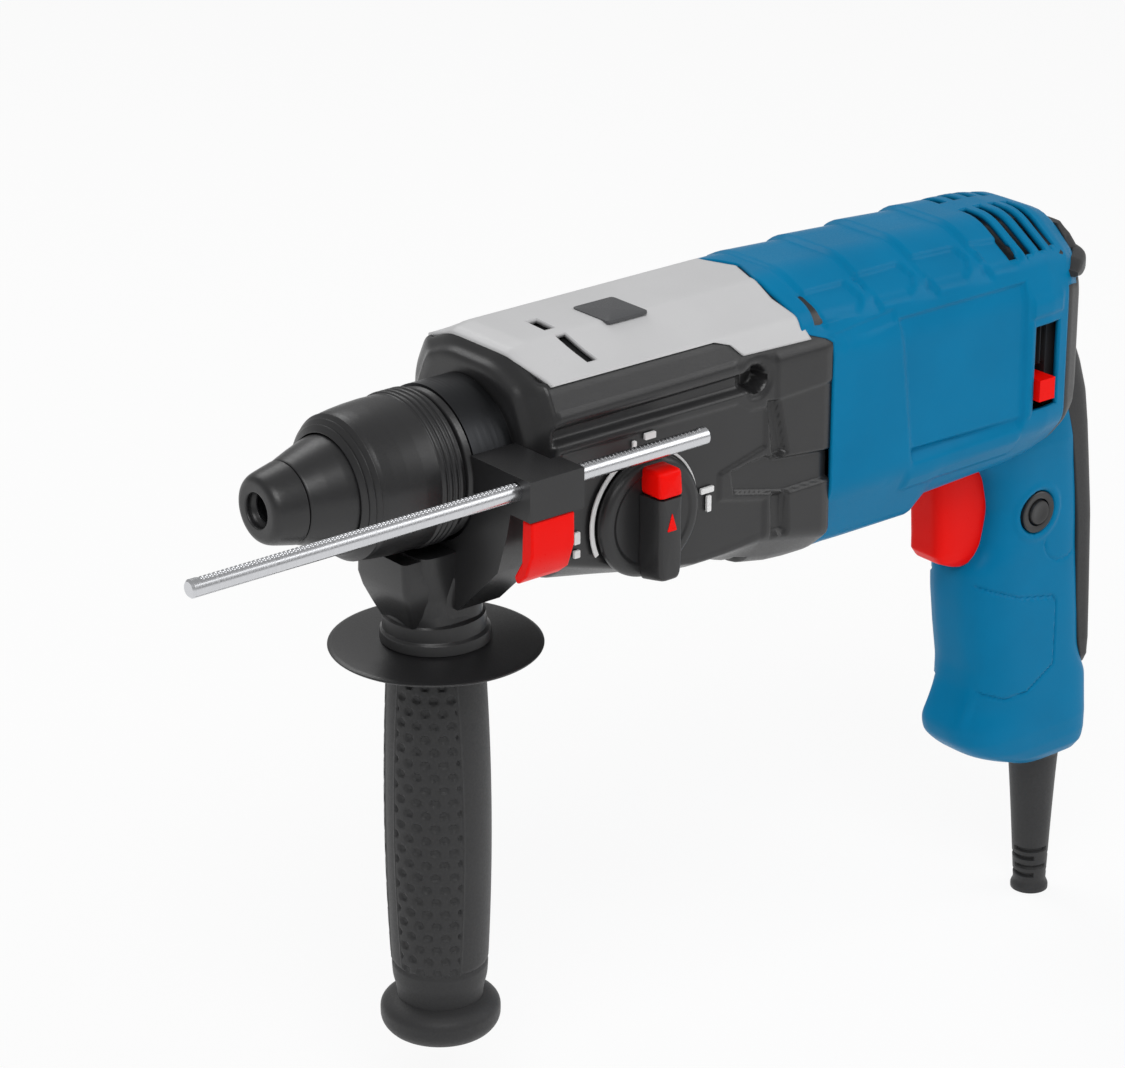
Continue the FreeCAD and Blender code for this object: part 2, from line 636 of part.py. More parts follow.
def make_bearing(name, outer_dia, inner_dia, width, x, z):
    gap = sizes.run_gap
    return turned(name, [(0, dim(inner_dia) / 2 + gap), (0, dim(outer_dia) / 2 - gap),
                         (width, dim(outer_dia) / 2 - gap), (width, dim(inner_dia) / 2 + gap)], x=x, z=z)


# ---------------------------------------------------------------- motor

def make_armature_shaft(pinion_radius):
    radius = sizes.shaft_dia / 2
    return turned("armature_shaft", [
        (184, 0), (184, pinion_radius), (196, pinion_radius), (196, radius),
        (330, radius), (330, 0)], z=-sizes.motor_axis_drop)


def make_motor_ring(name, outer_dia, inner_dia, x, length):
    return turned(name, [(0, dim(inner_dia) / 2), (0, dim(outer_dia) / 2),
                         (length, dim(outer_dia) / 2), (length, dim(inner_dia) / 2)],
                  x=x, z=-sizes.motor_axis_drop)


def make_fan():
    """A hub disc with flat blades behind it."""
    hub = make_motor_ring("fan_hub", sizes.fan_dia, sizes.shaft_dia + 0.04, sizes.fan_place, 2.5)
    blades = []
    for i in range(9):
        blade = box(f"fan_blade_{i}", 0, 8, 9, sizes.fan_dia / 2 - 0.6, -0.8, 0.8)
        turn = FreeCAD.Rotation(FreeCAD.Vector(1, 0, 0), 40 * i)
        arm = turn.multVec(FreeCAD.Vector(0, 9, -0.8))
        blade.Placement.Rotation = turn
        place(blade, sizes.fan_place + 2, arm.y, arm.z - sizes.motor_axis_drop)
        blades.append(blade)
    return fuse("cooling_fan", [hub] + blades)


# ---------------------------------------------------------------- motor housing

def motor_section(top, side, drop):
    half = [(14, top), (dim(side) * 0.87, dim(top) * 0.62), (side, dim(top) * 0.36),
            (side, -(dim(drop) * 0.58)), (dim(side) * 0.62, -dim(drop)), (12, -dim(drop))]
    return mirrored_points(half)


def motor_path(inset):
    """Places along the motor housing: x, top, half width, drop; inset makes the inside."""
    s = sizes
    side = s.motor_half_width - inset
    return [
        (s.housing_end + 0.3, s.motor_top - 1.5 - inset, side - 0.6, s.motor_drop - inset),
        (s.motor_step, s.motor_top + 0.5 - inset, side, s.motor_drop - inset),
        (s.motor_step + 6, s.motor_top + 0.4 - inset, side, s.motor_rear_drop - inset),
        (308, s.motor_top - 1.0 - inset, side, s.motor_rear_drop - 1 - inset),
        (324, s.motor_top - 3.5 - inset, side - 3, s.motor_rear_drop - 2 - inset),
        (s.motor_end - inset, s.motor_top - 13 - inset, side - 12, s.motor_rear_drop - 14 - inset)]


def make_motor_housing():
    def sections(inset, first_shift=0):
        def make(body):
            made = []
            for i, (x, top, side, drop) in enumerate(motor_path(inset)):
                if i == 0:
                    x = x - first_shift
                made.append(outline(body, "YZ_Plane", motor_section(top, side, drop), x))
            return made
        return make
    outer = lofted("motor_outer", sections(0))
    inner = lofted("motor_inner", sections(sizes.motor_wall, 1))
    wide = sizes.motor_half_width + 2
    tools = [inner]
    for side in (-1, 1):
        y0, y1 = (-wide, -26) if side < 0 else (26, wide)
        tools.append(box(f"window_{side}", sizes.window_place, sizes.window_place + sizes.window_len,
                         y0, y1, sizes.window_top - sizes.window_height, sizes.window_top))
    for i in range(4):
        x = 306 + 7.5 * i
        for side in (-1, 1):
            y0, y1 = (-wide, -8) if side < 0 else (8, wide)
            tools.append(box(f"vent_{i}_{side}", x, x + 3.4, y0, y1, 21 - 2 * i, 50))
    tools.append(box("cable_opening", 318, 326, -7, 7, -60, -44))
    return cut("motor_housing", outer, tools)


def make_stator():
    bore = sizes.armature_dia + 2 * sizes.motor_gap
    return make_motor_ring("stator_blank", sizes.stator_dia, bore, sizes.armature_place, sizes.armature_len)


# ---------------------------------------------------------------- handle

def handle_path():
    """Places down the handle: z, front, back, half width, corner radius."""
    s = sizes
    front, back = s.grip_front, s.grip_back
    half = s.grip_half_width
    return [
        (s.handle_top, front + 4, back - 8, half + 3, 9), (-77, front + 1.5, back - 3.5, half + 0.5, 9),
        (-100, front - 3, back - 1, half - 0.5, 10), (-124, front + 1, back, half, 11),
        (-146, front + 4, back, half, 11), (-163, front - 3.5, back, half + 0.5, 10),
        (-176, front + 4, s.heel_back - 1, half + 1, 10),
        (s.handle_foot, front + 22, s.heel_back - 5, half - 3, 9)]


def handle_loft(name, inset):
    def sections(body):
        made = []
        for z, front, back, half, radius in handle_path():
            made.append(rounded_outline(body, "XY_Plane", dim(front) + inset, dim(back) - inset,
                                        -(dim(half) - inset), dim(half) - inset,
                                        dim(radius) - inset * 0.5, z))
        return made
    return lofted(name, sections)


def back_zone(name, shift):
    """The region of the soft back: everything behind a bent line down the handle."""
    points = [(346, 30), (341, 8), (342, -8), (347, -30), (351, sizes.handle_top - 1), (355, -80),
              (358, -100), (359, -140), (361, -152), (390, -156), (390, 30)]
    moved = [(dim(x) + shift, z) for x, z in points]
    return padded(name, "XZ_Plane", moved, -40, 80)


def make_tail(name, inset):
    """The upper back of the handle, behind the motor housing."""
    start = sizes.motor_end + 0.4
    base = sizes.handle_top + 0.4
    points = [(start, 15), (345, 14), (341.5, 6), (344, -6), (352, -26), (357, -44),
              (357, base - 2.4), (352, base - 2.4), (352, base), (328, base), (start, -41.5)]
    half = sizes.grip_half_width + 3
    return padded(name, "XZ_Plane", points, -half + inset, (half - inset) * 2)


def make_handle():
    """Blue handle shell with room for the switch; the black soft back is a piece of its own."""
    whole = handle_loft("handle_outer", 0)
    tools = [
        back_zone("back_cut", 0),
        box("switch_room", 309, 348, -10.3, 10.3, -118, -50),
        box("trigger_slot", 290, 312, -(sizes.trigger_width / 2) - sizes.slide_gap,
            sizes.trigger_width / 2 + sizes.slide_gap, sizes.trigger_foot - sizes.slide_gap, -50),
        cylinder("lock_recess", sizes.lock_dia + 6, 4, "y", sizes.lock_place,
                 -sizes.grip_half_width - 2, sizes.lock_height),
        cylinder("lock_hole", sizes.lock_dia + 0.6, 12, "y", sizes.lock_place,
                 -sizes.grip_half_width - 1, sizes.lock_height),
        cylinder("guard_hole", sizes.guard_top_dia - 4 + sizes.slide_gap, 26, "z", sizes.guard_place, 0,
                 sizes.handle_foot - 2),
        box("cable_room", 330, 352, -8, 8, -164, -110),
    ]
    return cut("handle_shell", whole, tools)


def make_soft_grip():
    upper = make_tail("tail_blank", 0)
    lower = common("soft_back", handle_loft("handle_outer_2", 0), back_zone("back_keep", 0))
    return fuse("soft_grip", [upper, lower])


# ---------------------------------------------------------------- controls

def make_mode_dial():
    """Round dial with a wing; the wing's upper end is open for the red button."""
    s = sizes
    radius = s.dial_dia / 2
    face = -s.housing_half_width - 0.3
    disc = turned("dial_disc", [
        (-s.dial_thick, radius - 1.4), (-s.dial_thick + 1.2, radius), (0, radius), (0, s.dial_shaft_dia / 2),
        (8, s.dial_shaft_dia / 2), (8, 0), (-s.dial_thick, 0)], axis="y",
        x=s.dial_place, y=face, z=-s.dial_drop)
    half = s.wing_width / 2
    wing = box("dial_wing", s.dial_place - half, s.dial_place + half, face - s.wing_reach - s.dial_thick,
               face - s.dial_thick + 1, -s.dial_drop - radius + 2, -s.dial_drop + radius - 1)
    seat = box("button_seat", s.dial_place - half + 1.2, s.dial_place + half - 1.2,
               face - s.wing_reach - s.dial_thick - 1, face - s.dial_thick - 0.8,
               -s.dial_drop + radius - 13, -s.dial_drop + radius + 1)
    return cut("mode_dial", fuse("dial_blank", [disc, wing]), [seat])


def make_dial_button():
    """Red catch in the wing's upper end, pressed towards the dial's centre."""
    s = sizes
    half = s.wing_width / 2 - 1.2 - s.slide_gap
    face = -s.housing_half_width - 0.3 - s.dial_thick
    top = -s.dial_drop + s.dial_dia / 2 - 0.6
    return box("dial_button", s.dial_place - half, s.dial_place + half, face - s.wing_reach - 0.3,
               face - 1.2, top - 8.5, top)


def make_dial_marks():
    """Printed arc and plain position marks round the dial, a thin raised layer."""
    s = sizes
    face = -s.housing_half_width - 0.25
    radius = s.dial_dia / 2
    ring = turned("marks_ring", [(0, radius + 0.5), (0, radius + 1.4), (0.24, radius + 1.4),
                                 (0.24, radius + 0.5)], axis="y", x=s.dial_place, y=face, z=-s.dial_drop)
    keep = box("marks_keep", s.dial_place - 25, s.dial_place + 25, face - 1, face + 1,
               -s.dial_drop - 6, -s.dial_drop + 30)
    arc = common("marks_arc", ring, keep)
    signs = []
    for i, angle in enumerate((-90, 0, 90)):
        turn = math.radians(angle)
        reach = s.dial_dia / 2 + 5.4
        x = s.dial_place + reach * math.sin(turn)
        z = -s.dial_drop + reach * math.cos(turn)
        if angle == 0:
            z = z - 0.6
        signs.append(box(f"sign_{i}", x - 2.4, x + 2.4, face, face + 0.24, z - 1.3, z + 1.3))
    return fuse("dial_marks", [arc] + signs)


def make_trigger():
    """Red trigger with a slanted lower edge, wide enough for one finger."""
    s = sizes
    points = [(s.trigger_front + 2, s.trigger_top), (s.trigger_back, s.trigger_top),
              (s.trigger_back, s.trigger_foot + 2), (s.trigger_back - 6, s.trigger_foot),
              (s.trigger_front + 8, s.trigger_foot - 0.4), (s.trigger_front + 1, s.trigger_foot + 7),
              (s.trigger_front + 2.4, s.trigger_foot + 18)]
    return padded("trigger", "XZ_Plane", points, -s.trigger_width / 2, s.trigger_width)


def make_switch():
    s = sizes
    start = s.trigger_back + s.trigger_travel + 1.2
    block = box("switch_block", start, 346, -10, 10, -117, s.handle_top - 3)
    stem = box("switch_stem", s.trigger_back + s.trigger_travel + 0.3, start + 1, -3, 3, -84, -74)
    return fuse("switch_module", [block, stem])


def make_lock_button():
    """Black lock-on button on the handle's left side."""
    s = sizes
    depth = -s.grip_half_width - 0.2
    return cylinder("lock_button", s.lock_dia, 5.8 - s.lock_travel + 0.6, "y", s.lock_place, depth,
                    s.lock_height)


def make_direction_ring():
    """Brush ring that turns about the motor's axis; its red lever stands in the window."""
    s = sizes
    x = s.commutator_place + 7
    ring = make_motor_ring("brush_ring_blank", 62, 34, x, 9)
    slot = box("brush_slot", x + 1.3, x + 7.7, -3.3, 3.3, -50, 30)
    lever = box("direction_arm", x + 8, x + 15.5, -s.motor_half_width - 1.2, -26,
                s.window_top - 27.5, s.window_top - 19.5)
    bridge = box("direction_bridge", x + 4, x + 10, -30, -24, s.window_top - 26.5, s.window_top - 20.5)
    return fuse("direction_ring", [cut("brush_ring_slotted", ring, [slot]), bridge, lever])


def make_brush(name, side):
    s = sizes
    x = s.commutator_place + 8.5
    low = s.commutator_dia / 2 + 0.3
    z0, z1 = (low, low + 14) if side > 0 else (-low - 14, -low)
    return box(name, x, x + 6, -3, 3, z0 - s.motor_axis_drop, z1 - s.motor_axis_drop)


# ---------------------------------------------------------------- side handle

def make_clamp_body():
    """Saddle under the neck, stem down to the flange and the arm that holds the rod."""
    s = sizes
    web = padded("clamp_web", "YZ_Plane", [
        (-27, s.arm_top), (-44, s.arm_top), (-44, s.arm_foot), (-41.5, s.arm_foot - 10),
        (-37, -27), (-16, -47), (16, -47), (27, -31), (30, -14), (27, -5)],
        s.clamp_start + 1, s.clamp_end - s.clamp_start - 1)
    arm = box("rod_arm", s.clamp_start, s.arm_back, -s.arm_side, -42.5, s.arm_foot, s.arm_top)
    top = box("arm_root", s.clamp_start, s.clamp_end, -44, -20, s.arm_foot, s.arm_top)

    def stem_sections(body):
        made = []
        foot = -s.flange_drop + 0.4
        for z, front, back, half, radius in ((-36, 60, 80, 15, 5), (-47, 54.5, 79, 14, 8),
                                             (foot + 4, 51.5, 80.5, 14.5, 12), (foot, 51, 81, 15, 13)):
            made.append(rounded_outline(body, "XY_Plane", front, back, -half, half, radius, z))
        return made
    stem = lofted("clamp_stem", stem_sections)
    tools = [
        cylinder("neck_room", s.neck_dia + 2 * s.strap_wall + 0.6, 60, "x", 45),
        cylinder("rod_hole", s.rod_dia + 0.1, 40, "x", s.clamp_start - 5, -s.rod_side, s.rod_rise),
        cylinder("bolt_hole", s.clamp_bolt_dia + 0.6, 60, "z", s.stem_place, 0, -70),
        cylinder("head_hole", s.bolt_head_dia + 2 * s.bolt_head_gap, 12, "z", s.stem_place, 0,
                 -(s.neck_dia / 2 + s.bolt_head_drop + s.bolt_head_len + 5)),
        box("ring_room", 40, s.clamp_start + 0.2, -40, 40, -31, 40),
    ]
    return cut("clamp_body", fuse("clamp_whole", [web, arm, top, stem]), tools)


def make_clamp_strap():
    inner = sizes.neck_dia / 2 + 0.06
    return turned("clamp_strap", [
        (sizes.clamp_start + 1.5, inner), (sizes.clamp_start + 1.5, inner + sizes.strap_wall),
        (sizes.clamp_end - 0.8, inner + sizes.strap_wall), (sizes.clamp_end - 0.8, inner)])


def make_clamp_bolt():
    s = sizes
    radius = s.clamp_bolt_dia / 2
    head = s.bolt_head_dia / 2
    top = -(s.neck_dia / 2 + s.bolt_head_drop)
    seat = top - s.bolt_head_len
    foot = -s.clamp_bolt_foot
    return turned("clamp_bolt",
                  [(top, 0), (top, head), (seat, head), (seat, radius), (foot, radius), (foot, 0)],
                  axis="z", x=s.stem_place)


def make_grip_flange():
    s = sizes
    top = -s.flange_drop
    radius = s.flange_dia / 2
    inner = s.clamp_bolt_dia / 2 + 0.1
    return turned("grip_flange", [
        (top, inner), (top, 17.5), (top - 1.6, 18), (top - 1.2, radius - 1.2), (top - 2.2, radius),
        (top - s.flange_thick, radius - 0.8), (top - s.flange_thick - 0.4, 17),
        (top - s.flange_thick - 0.4, inner)],
        axis="z", x=s.stem_place)


def make_side_grip():
    """Soft grip with a swelling in the middle and a knob at its foot."""
    s = sizes
    top = -s.flange_drop - s.flange_thick - 0.5
    steps = 12
    profile = [(top, s.clamp_bolt_dia / 2 + 3.2)]
    for i in range(steps + 1):
        share = i / steps
        swell = math.sin(math.pi * share) ** 0.8 if 0 < share < 1 else 0
        radius = s.grip_end_dia / 2 + (s.grip_dia - s.grip_end_dia) / 2 * swell
        profile.append((top - s.grip_len * share, radius))
    foot = top - s.grip_len
    knob = s.knob_dia / 2
    profile += [(foot - 2, knob - 2), (foot - 4.5, knob), (foot - s.knob_len + 4, knob),
                (foot - s.knob_len + 0.8, knob - 3.5), (foot - s.knob_len, knob - 8), (foot - s.knob_len, 0),
                (-86, 0), (-86, s.clamp_bolt_dia / 2 + 3.2)]
    return turned("side_grip", profile, axis="z", x=s.stem_place)


def make_grip_nut():
    s = sizes
    top = -s.flange_drop - s.flange_thick - 0.8
    return turned("grip_nut", [
        (top, s.clamp_bolt_dia / 2 + 0.1), (top, s.clamp_bolt_dia / 2 + 3), (-85.6, s.clamp_bolt_dia / 2 + 3),
        (-85.6, s.clamp_bolt_dia / 2 + 0.1)], axis="z", x=s.stem_place)


def make_depth_rod():
    s = sizes
    radius = s.rod_dia / 2
    return turned("depth_rod", [(0, 0), (0, radius - 0.5), (0.5, radius), (s.rod_len - 0.5, radius),
                                (s.rod_len, radius - 0.5), (s.rod_len, 0)],
                  x=s.rod_front, y=-s.rod_side, z=s.rod_rise)


def make_stop_button():
    """Red release button below the arm, pressed towards the neck."""
    s = sizes
    top = s.arm_foot - s.slide_gap
    points = [(-54.6, top), (-54.6, top - 11), (-51.5, top - 19.5), (-46.5, top - 23.5),
              (-45.2, top - 21), (-49, top - 15), (-49.6, top)]
    return padded("stop_button", "YZ_Plane", points, s.clamp_start + 1, 17.6)


# ---------------------------------------------------------------- cord guard, seals and screws

def make_cord_guard():
    """Tapered rubber guard with ribs near its end; its bore takes the cord."""
    s = sizes
    bore = s.cord_dia / 2 + 0.2
    top = s.handle_foot - 0.4
    end = top - s.guard_len
    wide = s.guard_top_dia / 2
    thin = s.guard_end_dia / 2
    profile = [(top + 8, bore), (top + 8, wide - 2.1), (top, wide - 2.1), (top, wide), (top - 5, wide - 1.2)]
    for i in range(6):
        z = top - 22 - 5.2 * i
        radius = wide - 1.2 - (wide - 1.2 - thin) * (17 + 5.2 * i) / (s.guard_len - 8)
        profile += [(z, radius), (z - 0.4, radius - 0.8), (z - 1.8, radius - 0.8), (z - 2.2, radius)]
    profile += [(end + 3, thin), (end + 1.5, thin + 0.6), (end, thin + 0.4), (end, bore)]
    return turned("cord_guard", profile, axis="z", x=s.guard_place)


def make_bellows():
    """Rubber element between the motor housing and the back of the handle."""
    s = sizes
    return box("rubber_element", s.motor_end + 0.4, 345, -14, 14, 15.4, 19.5)


def make_neck_seal():
    s = sizes
    inner = s.holder_body_dia / 2 + 0.3
    return turned("neck_seal", [(61.2, inner), (61.2, s.neck_bore_dia / 2 - 0.1),
                                (64.2, s.neck_bore_dia / 2 - 0.1), (64.2, inner)])


def make_screw(name, x, y, z, length, axis="x", sign=1):
    """A plain round-headed screw; its head lies at the start point."""
    s = sizes
    head = s.screw_head_dia / 2
    rod = s.screw_dia / 2
    return turned(name, [(0, 0), (0, head - 0.6), (0.8 * sign, head), (2.6 * sign, head), (2.6 * sign, rod),
                         (dim(length) * sign, rod), (dim(length) * sign, 0)], axis=axis, x=x, y=y, z=z)


# ---------------------------------------------------------------- assembly

def make_chuck():
    node("dust_cap", make_dust_cap())
    node("locking_sleeve", make_locking_sleeve())
    node("change_ring", make_change_ring())
    node("tool_holder", make_tool_holder())
    node("locking_ball_upper", make_locking_ball("ball_upper", 1))
    node("locking_ball_lower", make_locking_ball("ball_lower", -1))
    node("sleeve_spring", make_sleeve_spring())


def make_hammer():
    node("impact_bolt", make_impact_bolt())
    node("striker", make_striker())
    node("striker_seal", make_striker_seal())
    node("piston", make_piston())
    node("wobble_ring", make_wobble_ring())
    node("intermediate_shaft", make_intermediate_shaft())
    pinion_radius = make_gears()
    node("armature_shaft", make_armature_shaft(pinion_radius))


def make_motor():
    s = sizes
    core = make_motor_ring("armature_core", s.armature_dia, s.shaft_dia + 0.04,
                           s.armature_place, s.armature_len)
    node("armature_core", core)
    node("winding_front", make_motor_ring("winding_front", s.armature_dia - 6, s.shaft_dia + 0.04,
                                          s.armature_place - 9, 8.9))
    node("winding_rear", make_motor_ring("winding_rear", s.armature_dia - 6, s.shaft_dia + 0.04,
                                         s.armature_place + s.armature_len + 0.1, 9.5))
    node("commutator", make_motor_ring("commutator", s.commutator_dia, s.shaft_dia + 0.04,
                                       s.commutator_place, 18))
    node("cooling_fan", make_fan())
    node("stator_core", make_stator())
    node("direction_ring", make_direction_ring())
    node("carbon_brush_upper", make_brush("brush_upper", 1))
    node("carbon_brush_lower", make_brush("brush_lower", -1))


def make_bearings():
    s = sizes
    motor = -s.motor_axis_drop
    node("spindle_bearing", make_bearing("spindle_bearing", s.neck_bore_dia, s.holder_body_dia, 9, 65, 0))
    node("motor_front_bearing", make_bearing("motor_front_bearing", 24.2, s.shaft_dia, 7, 198.5, motor))
    node("motor_rear_bearing", make_bearing("motor_rear_bearing", 22, s.shaft_dia, 7, 315, motor))
    holder = box("bracket_blank", 314, 323, -32.6, 32.6, -30, 12)
    hole = cylinder("bracket_hole", 22, 14, "x", 311, 0, motor)
    node("bearing_bracket", cut("bearing_bracket", holder, [hole]))
    node("shaft_front_bearing", make_bearing("shaft_front_bearing", s.inter_dia + 8, s.inter_dia - 2, 6,
                                             96, -s.inter_drop))


def make_controls():
    node("mode_dial", make_mode_dial())
    node("dial_button", make_dial_button())
    node("dial_marks", make_dial_marks())
    node("trigger", make_trigger())
    node("switch_module", make_switch())
    node("lock_button", make_lock_button())


def make_housings():
    node("gear_housing", make_gear_housing())
    node("top_cover", make_top_cover())
    node("bearing_plate", make_bearing_plate())
    node("motor_housing", make_motor_housing())
    node("handle_shell", make_handle())
    node("soft_grip", make_soft_grip())
    node("rubber_element", make_bellows())
    node("cord_guard", make_cord_guard())
    node("neck_seal", make_neck_seal())
    for i, (y, z) in enumerate(PLATE_SCREWS, start=1):
        node(f"plate_screw_{i}", make_screw(f"plate_screw_{i}", 208.7, y, z, 24, "x", -1))


def make_side_handle():
    node("clamp_body", make_clamp_body())
    node("clamp_strap", make_clamp_strap())
    node("clamp_bolt", make_clamp_bolt())
    node("grip_flange", make_grip_flange())
    node("side_grip", make_side_grip())
    node("grip_nut", make_grip_nut())
    node("depth_rod", make_depth_rod())
    node("stop_button", make_stop_button())


make_chuck()
make_hammer()
make_motor()
make_bearings()
make_controls()
make_housings()
make_side_handle()
doc.recompute()

faults = [f"{thing.Name} {thing.State}" for thing in doc.Objects
          if "Invalid" in thing.State or "Error" in thing.State]
for name, thing in NODES.items():
    if thing.Shape.isNull() or not thing.Shape.isValid() or thing.Shape.Volume <= 0:
        faults.append(f"{name} has no valid shape")
if faults:
    raise RuntimeError("; ".join(faults))

os.makedirs("parts", exist_ok=True)
for name, thing in NODES.items():
    thing.Shape.exportStep(f"parts/{name}.step")
    shape = thing.Shape
    low = shape.BoundBox
    print(f"{name:22s} {len(shape.Solids)} {shape.Volume / 1000:8.2f} cm3"
          f"  x {low.XMin:.1f}..{low.XMax:.1f}  y {low.YMin:.1f}..{low.YMax:.1f}"
          f"  z {low.ZMin:.1f}..{low.ZMax:.1f}")
print(len(NODES), "nodes")
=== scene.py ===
import bpy
import bmesh
import json
import math
import numpy as np
from mathutils import Matrix, Vector


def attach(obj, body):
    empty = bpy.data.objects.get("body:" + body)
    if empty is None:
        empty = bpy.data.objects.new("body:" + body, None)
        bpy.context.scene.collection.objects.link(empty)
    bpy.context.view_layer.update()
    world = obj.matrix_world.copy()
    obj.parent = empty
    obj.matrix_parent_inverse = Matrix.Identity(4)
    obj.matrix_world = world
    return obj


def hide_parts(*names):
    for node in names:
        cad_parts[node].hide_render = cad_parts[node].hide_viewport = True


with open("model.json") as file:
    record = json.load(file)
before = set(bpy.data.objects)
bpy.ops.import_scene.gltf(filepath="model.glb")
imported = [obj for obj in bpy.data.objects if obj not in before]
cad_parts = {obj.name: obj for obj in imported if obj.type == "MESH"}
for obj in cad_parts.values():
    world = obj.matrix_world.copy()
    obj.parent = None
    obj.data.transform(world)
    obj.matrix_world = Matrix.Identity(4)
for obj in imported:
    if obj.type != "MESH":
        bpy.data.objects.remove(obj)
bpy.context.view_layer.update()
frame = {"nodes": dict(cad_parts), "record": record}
mm = 0.001
scene = bpy.context.scene
scene.view_settings.view_transform = "Standard"
print("frame loaded:", len(frame["nodes"]), "nodes")


# small helpers

# An sRGB hex colour turned to linear light.
def hexLinear(code, alpha=1.0):
    values = [int(code[i:i + 2], 16) / 255 for i in (1, 3, 5)]
    return tuple(v / 12.92 if v <= 0.04045 else ((v + 0.055) / 1.055) ** 2.4 for v in values) + (alpha,)


def addNode(tree, kind, settings=None, inputs=None):
    node = tree.nodes.new(kind)
    for key, value in (settings or {}).items():
        setattr(node, key, value)
    for key, value in (inputs or {}).items():
        if isinstance(value, bpy.types.NodeSocket):
            tree.links.new(value, node.inputs[key])
        else:
            node.inputs[key].default_value = value
    return node


def startMaterial(name, roughness, metallic=0.0, ior=1.5, colour="#808080"):
    material = bpy.data.materials.new(name)
    material.use_nodes = True
    tree = material.node_tree
    shader = tree.nodes["Principled BSDF"]
    shader.inputs["Base Color"].default_value = hexLinear(colour)
    shader.inputs["Roughness"].default_value = roughness
    shader.inputs["Metallic"].default_value = metallic
    shader.inputs["IOR"].default_value = ior
    place = addNode(tree, "ShaderNodeTexCoord").outputs["Object"]
    return material, tree, shader, place


# Texture scale for a pattern whose cell is size millimetres across.
def perMetre(size):
    return 1000.0 / size


# materials

# Injection-moulded ABS or nylon with a spark-eroded grain: soft broad highlights, fine sparkle at grazing
# angles.
def mouldedAbs(name, colour, deep, grain=0.55, roughness=0.42, depth=0.03, level=0.5):
    material, tree, shader, place = startMaterial(name, roughness, colour=colour)
    cloud = addNode(tree, "ShaderNodeTexNoise", {}, {"Vector": place, "Scale": perMetre(28), "Detail": 3.0})
    tint = addNode(tree, "ShaderNodeMix", {"data_type": "RGBA"},
                   {"A": hexLinear(colour), "B": hexLinear(deep)})
    fade = addNode(tree, "ShaderNodeMapRange", {}, {"Value": cloud.outputs["Fac"], "From Min": 0.35,
                                                     "From Max": 0.75, "To Min": 0.0, "To Max": 0.55})
    tree.links.new(fade.outputs["Result"], tint.inputs["Factor"])
    tree.links.new(tint.outputs["Result"], shader.inputs["Base Color"])
    fine = addNode(tree, "ShaderNodeTexNoise", {}, {"Vector": place, "Scale": perMetre(grain), "Detail": 2.0})
    rough = addNode(tree, "ShaderNodeMapRange", {}, {"Value": fine.outputs["Fac"], "From Min": 0.3,
                                                      "From Max": 0.7, "To Min": roughness - 0.05,
                                                      "To Max": roughness + 0.07})
    tree.links.new(rough.outputs["Result"], shader.inputs["Roughness"])
    bump = addNode(tree, "ShaderNodeBump", {}, {"Height": fine.outputs["Fac"], "Strength": 0.35,
                                                 "Distance": depth * mm})
    tree.links.new(bump.outputs["Normal"], shader.inputs["Normal"])
    shader.inputs["Specular IOR Level"].default_value = level
    return material


# Over-moulded thermoplastic rubber: matt, slightly dusty, with a faint sheen at the rims.
def softElastomer(name, colour, deep):
    material = mouldedAbs(name, colour, deep, grain=0.8, roughness=0.58, depth=0.05)
    shader = material.node_tree.nodes["Principled BSDF"]
    shader.inputs["Sheen Weight"].default_value = 0.12
    shader.inputs["Sheen Roughness"].default_value = 0.4
    return material


# Ground or turned steel: fine tool lines round the X axis that stretch the highlight.
def turnedSteel(name, colour, roughness=0.28, line=0.12):
    material, tree, shader, place = startMaterial(name, roughness, metallic=1.0, colour=colour)
    stretch = addNode(tree, "ShaderNodeMapping", {}, {"Vector": place, "Scale": (1.0, 0.03, 0.03)})
    lines = addNode(tree, "ShaderNodeTexNoise", {}, {"Vector": stretch.outputs["Vector"],
                                                      "Scale": perMetre(line * 4), "Detail": 2.0})
    rough = addNode(tree, "ShaderNodeMapRange", {}, {"Value": lines.outputs["Fac"], "From Min": 0.3,
                                                      "From Max": 0.7, "To Min": roughness - 0.08,
                                                      "To Max": roughness + 0.1})
    tree.links.new(rough.outputs["Result"], shader.inputs["Roughness"])
    bump = addNode(tree, "ShaderNodeBump", {}, {"Height": lines.outputs["Fac"], "Strength": 0.2,
                                                 "Distance": 0.02 * mm})
    tree.links.new(bump.outputs["Normal"], shader.inputs["Normal"])
    return material


# Enamelled copper wire wound tight: thin parallel turns with a warm lacquer gloss.
def woundCopper(name):
    material, tree, shader, place = startMaterial(name, 0.3, metallic=1.0, colour="#b8683c")
    wave = addNode(tree, "ShaderNodeTexWave", {"bands_direction": "X"}, {"Vector": place,
                   "Scale": perMetre(0.9) / 6.28, "Distortion": 0.4})
    bump = addNode(tree, "ShaderNodeBump", {}, {"Height": wave.outputs["Fac"], "Strength": 0.6,
                                                 "Distance": 0.2 * mm})
    tree.links.new(bump.outputs["Normal"], shader.inputs["Normal"])
    return material


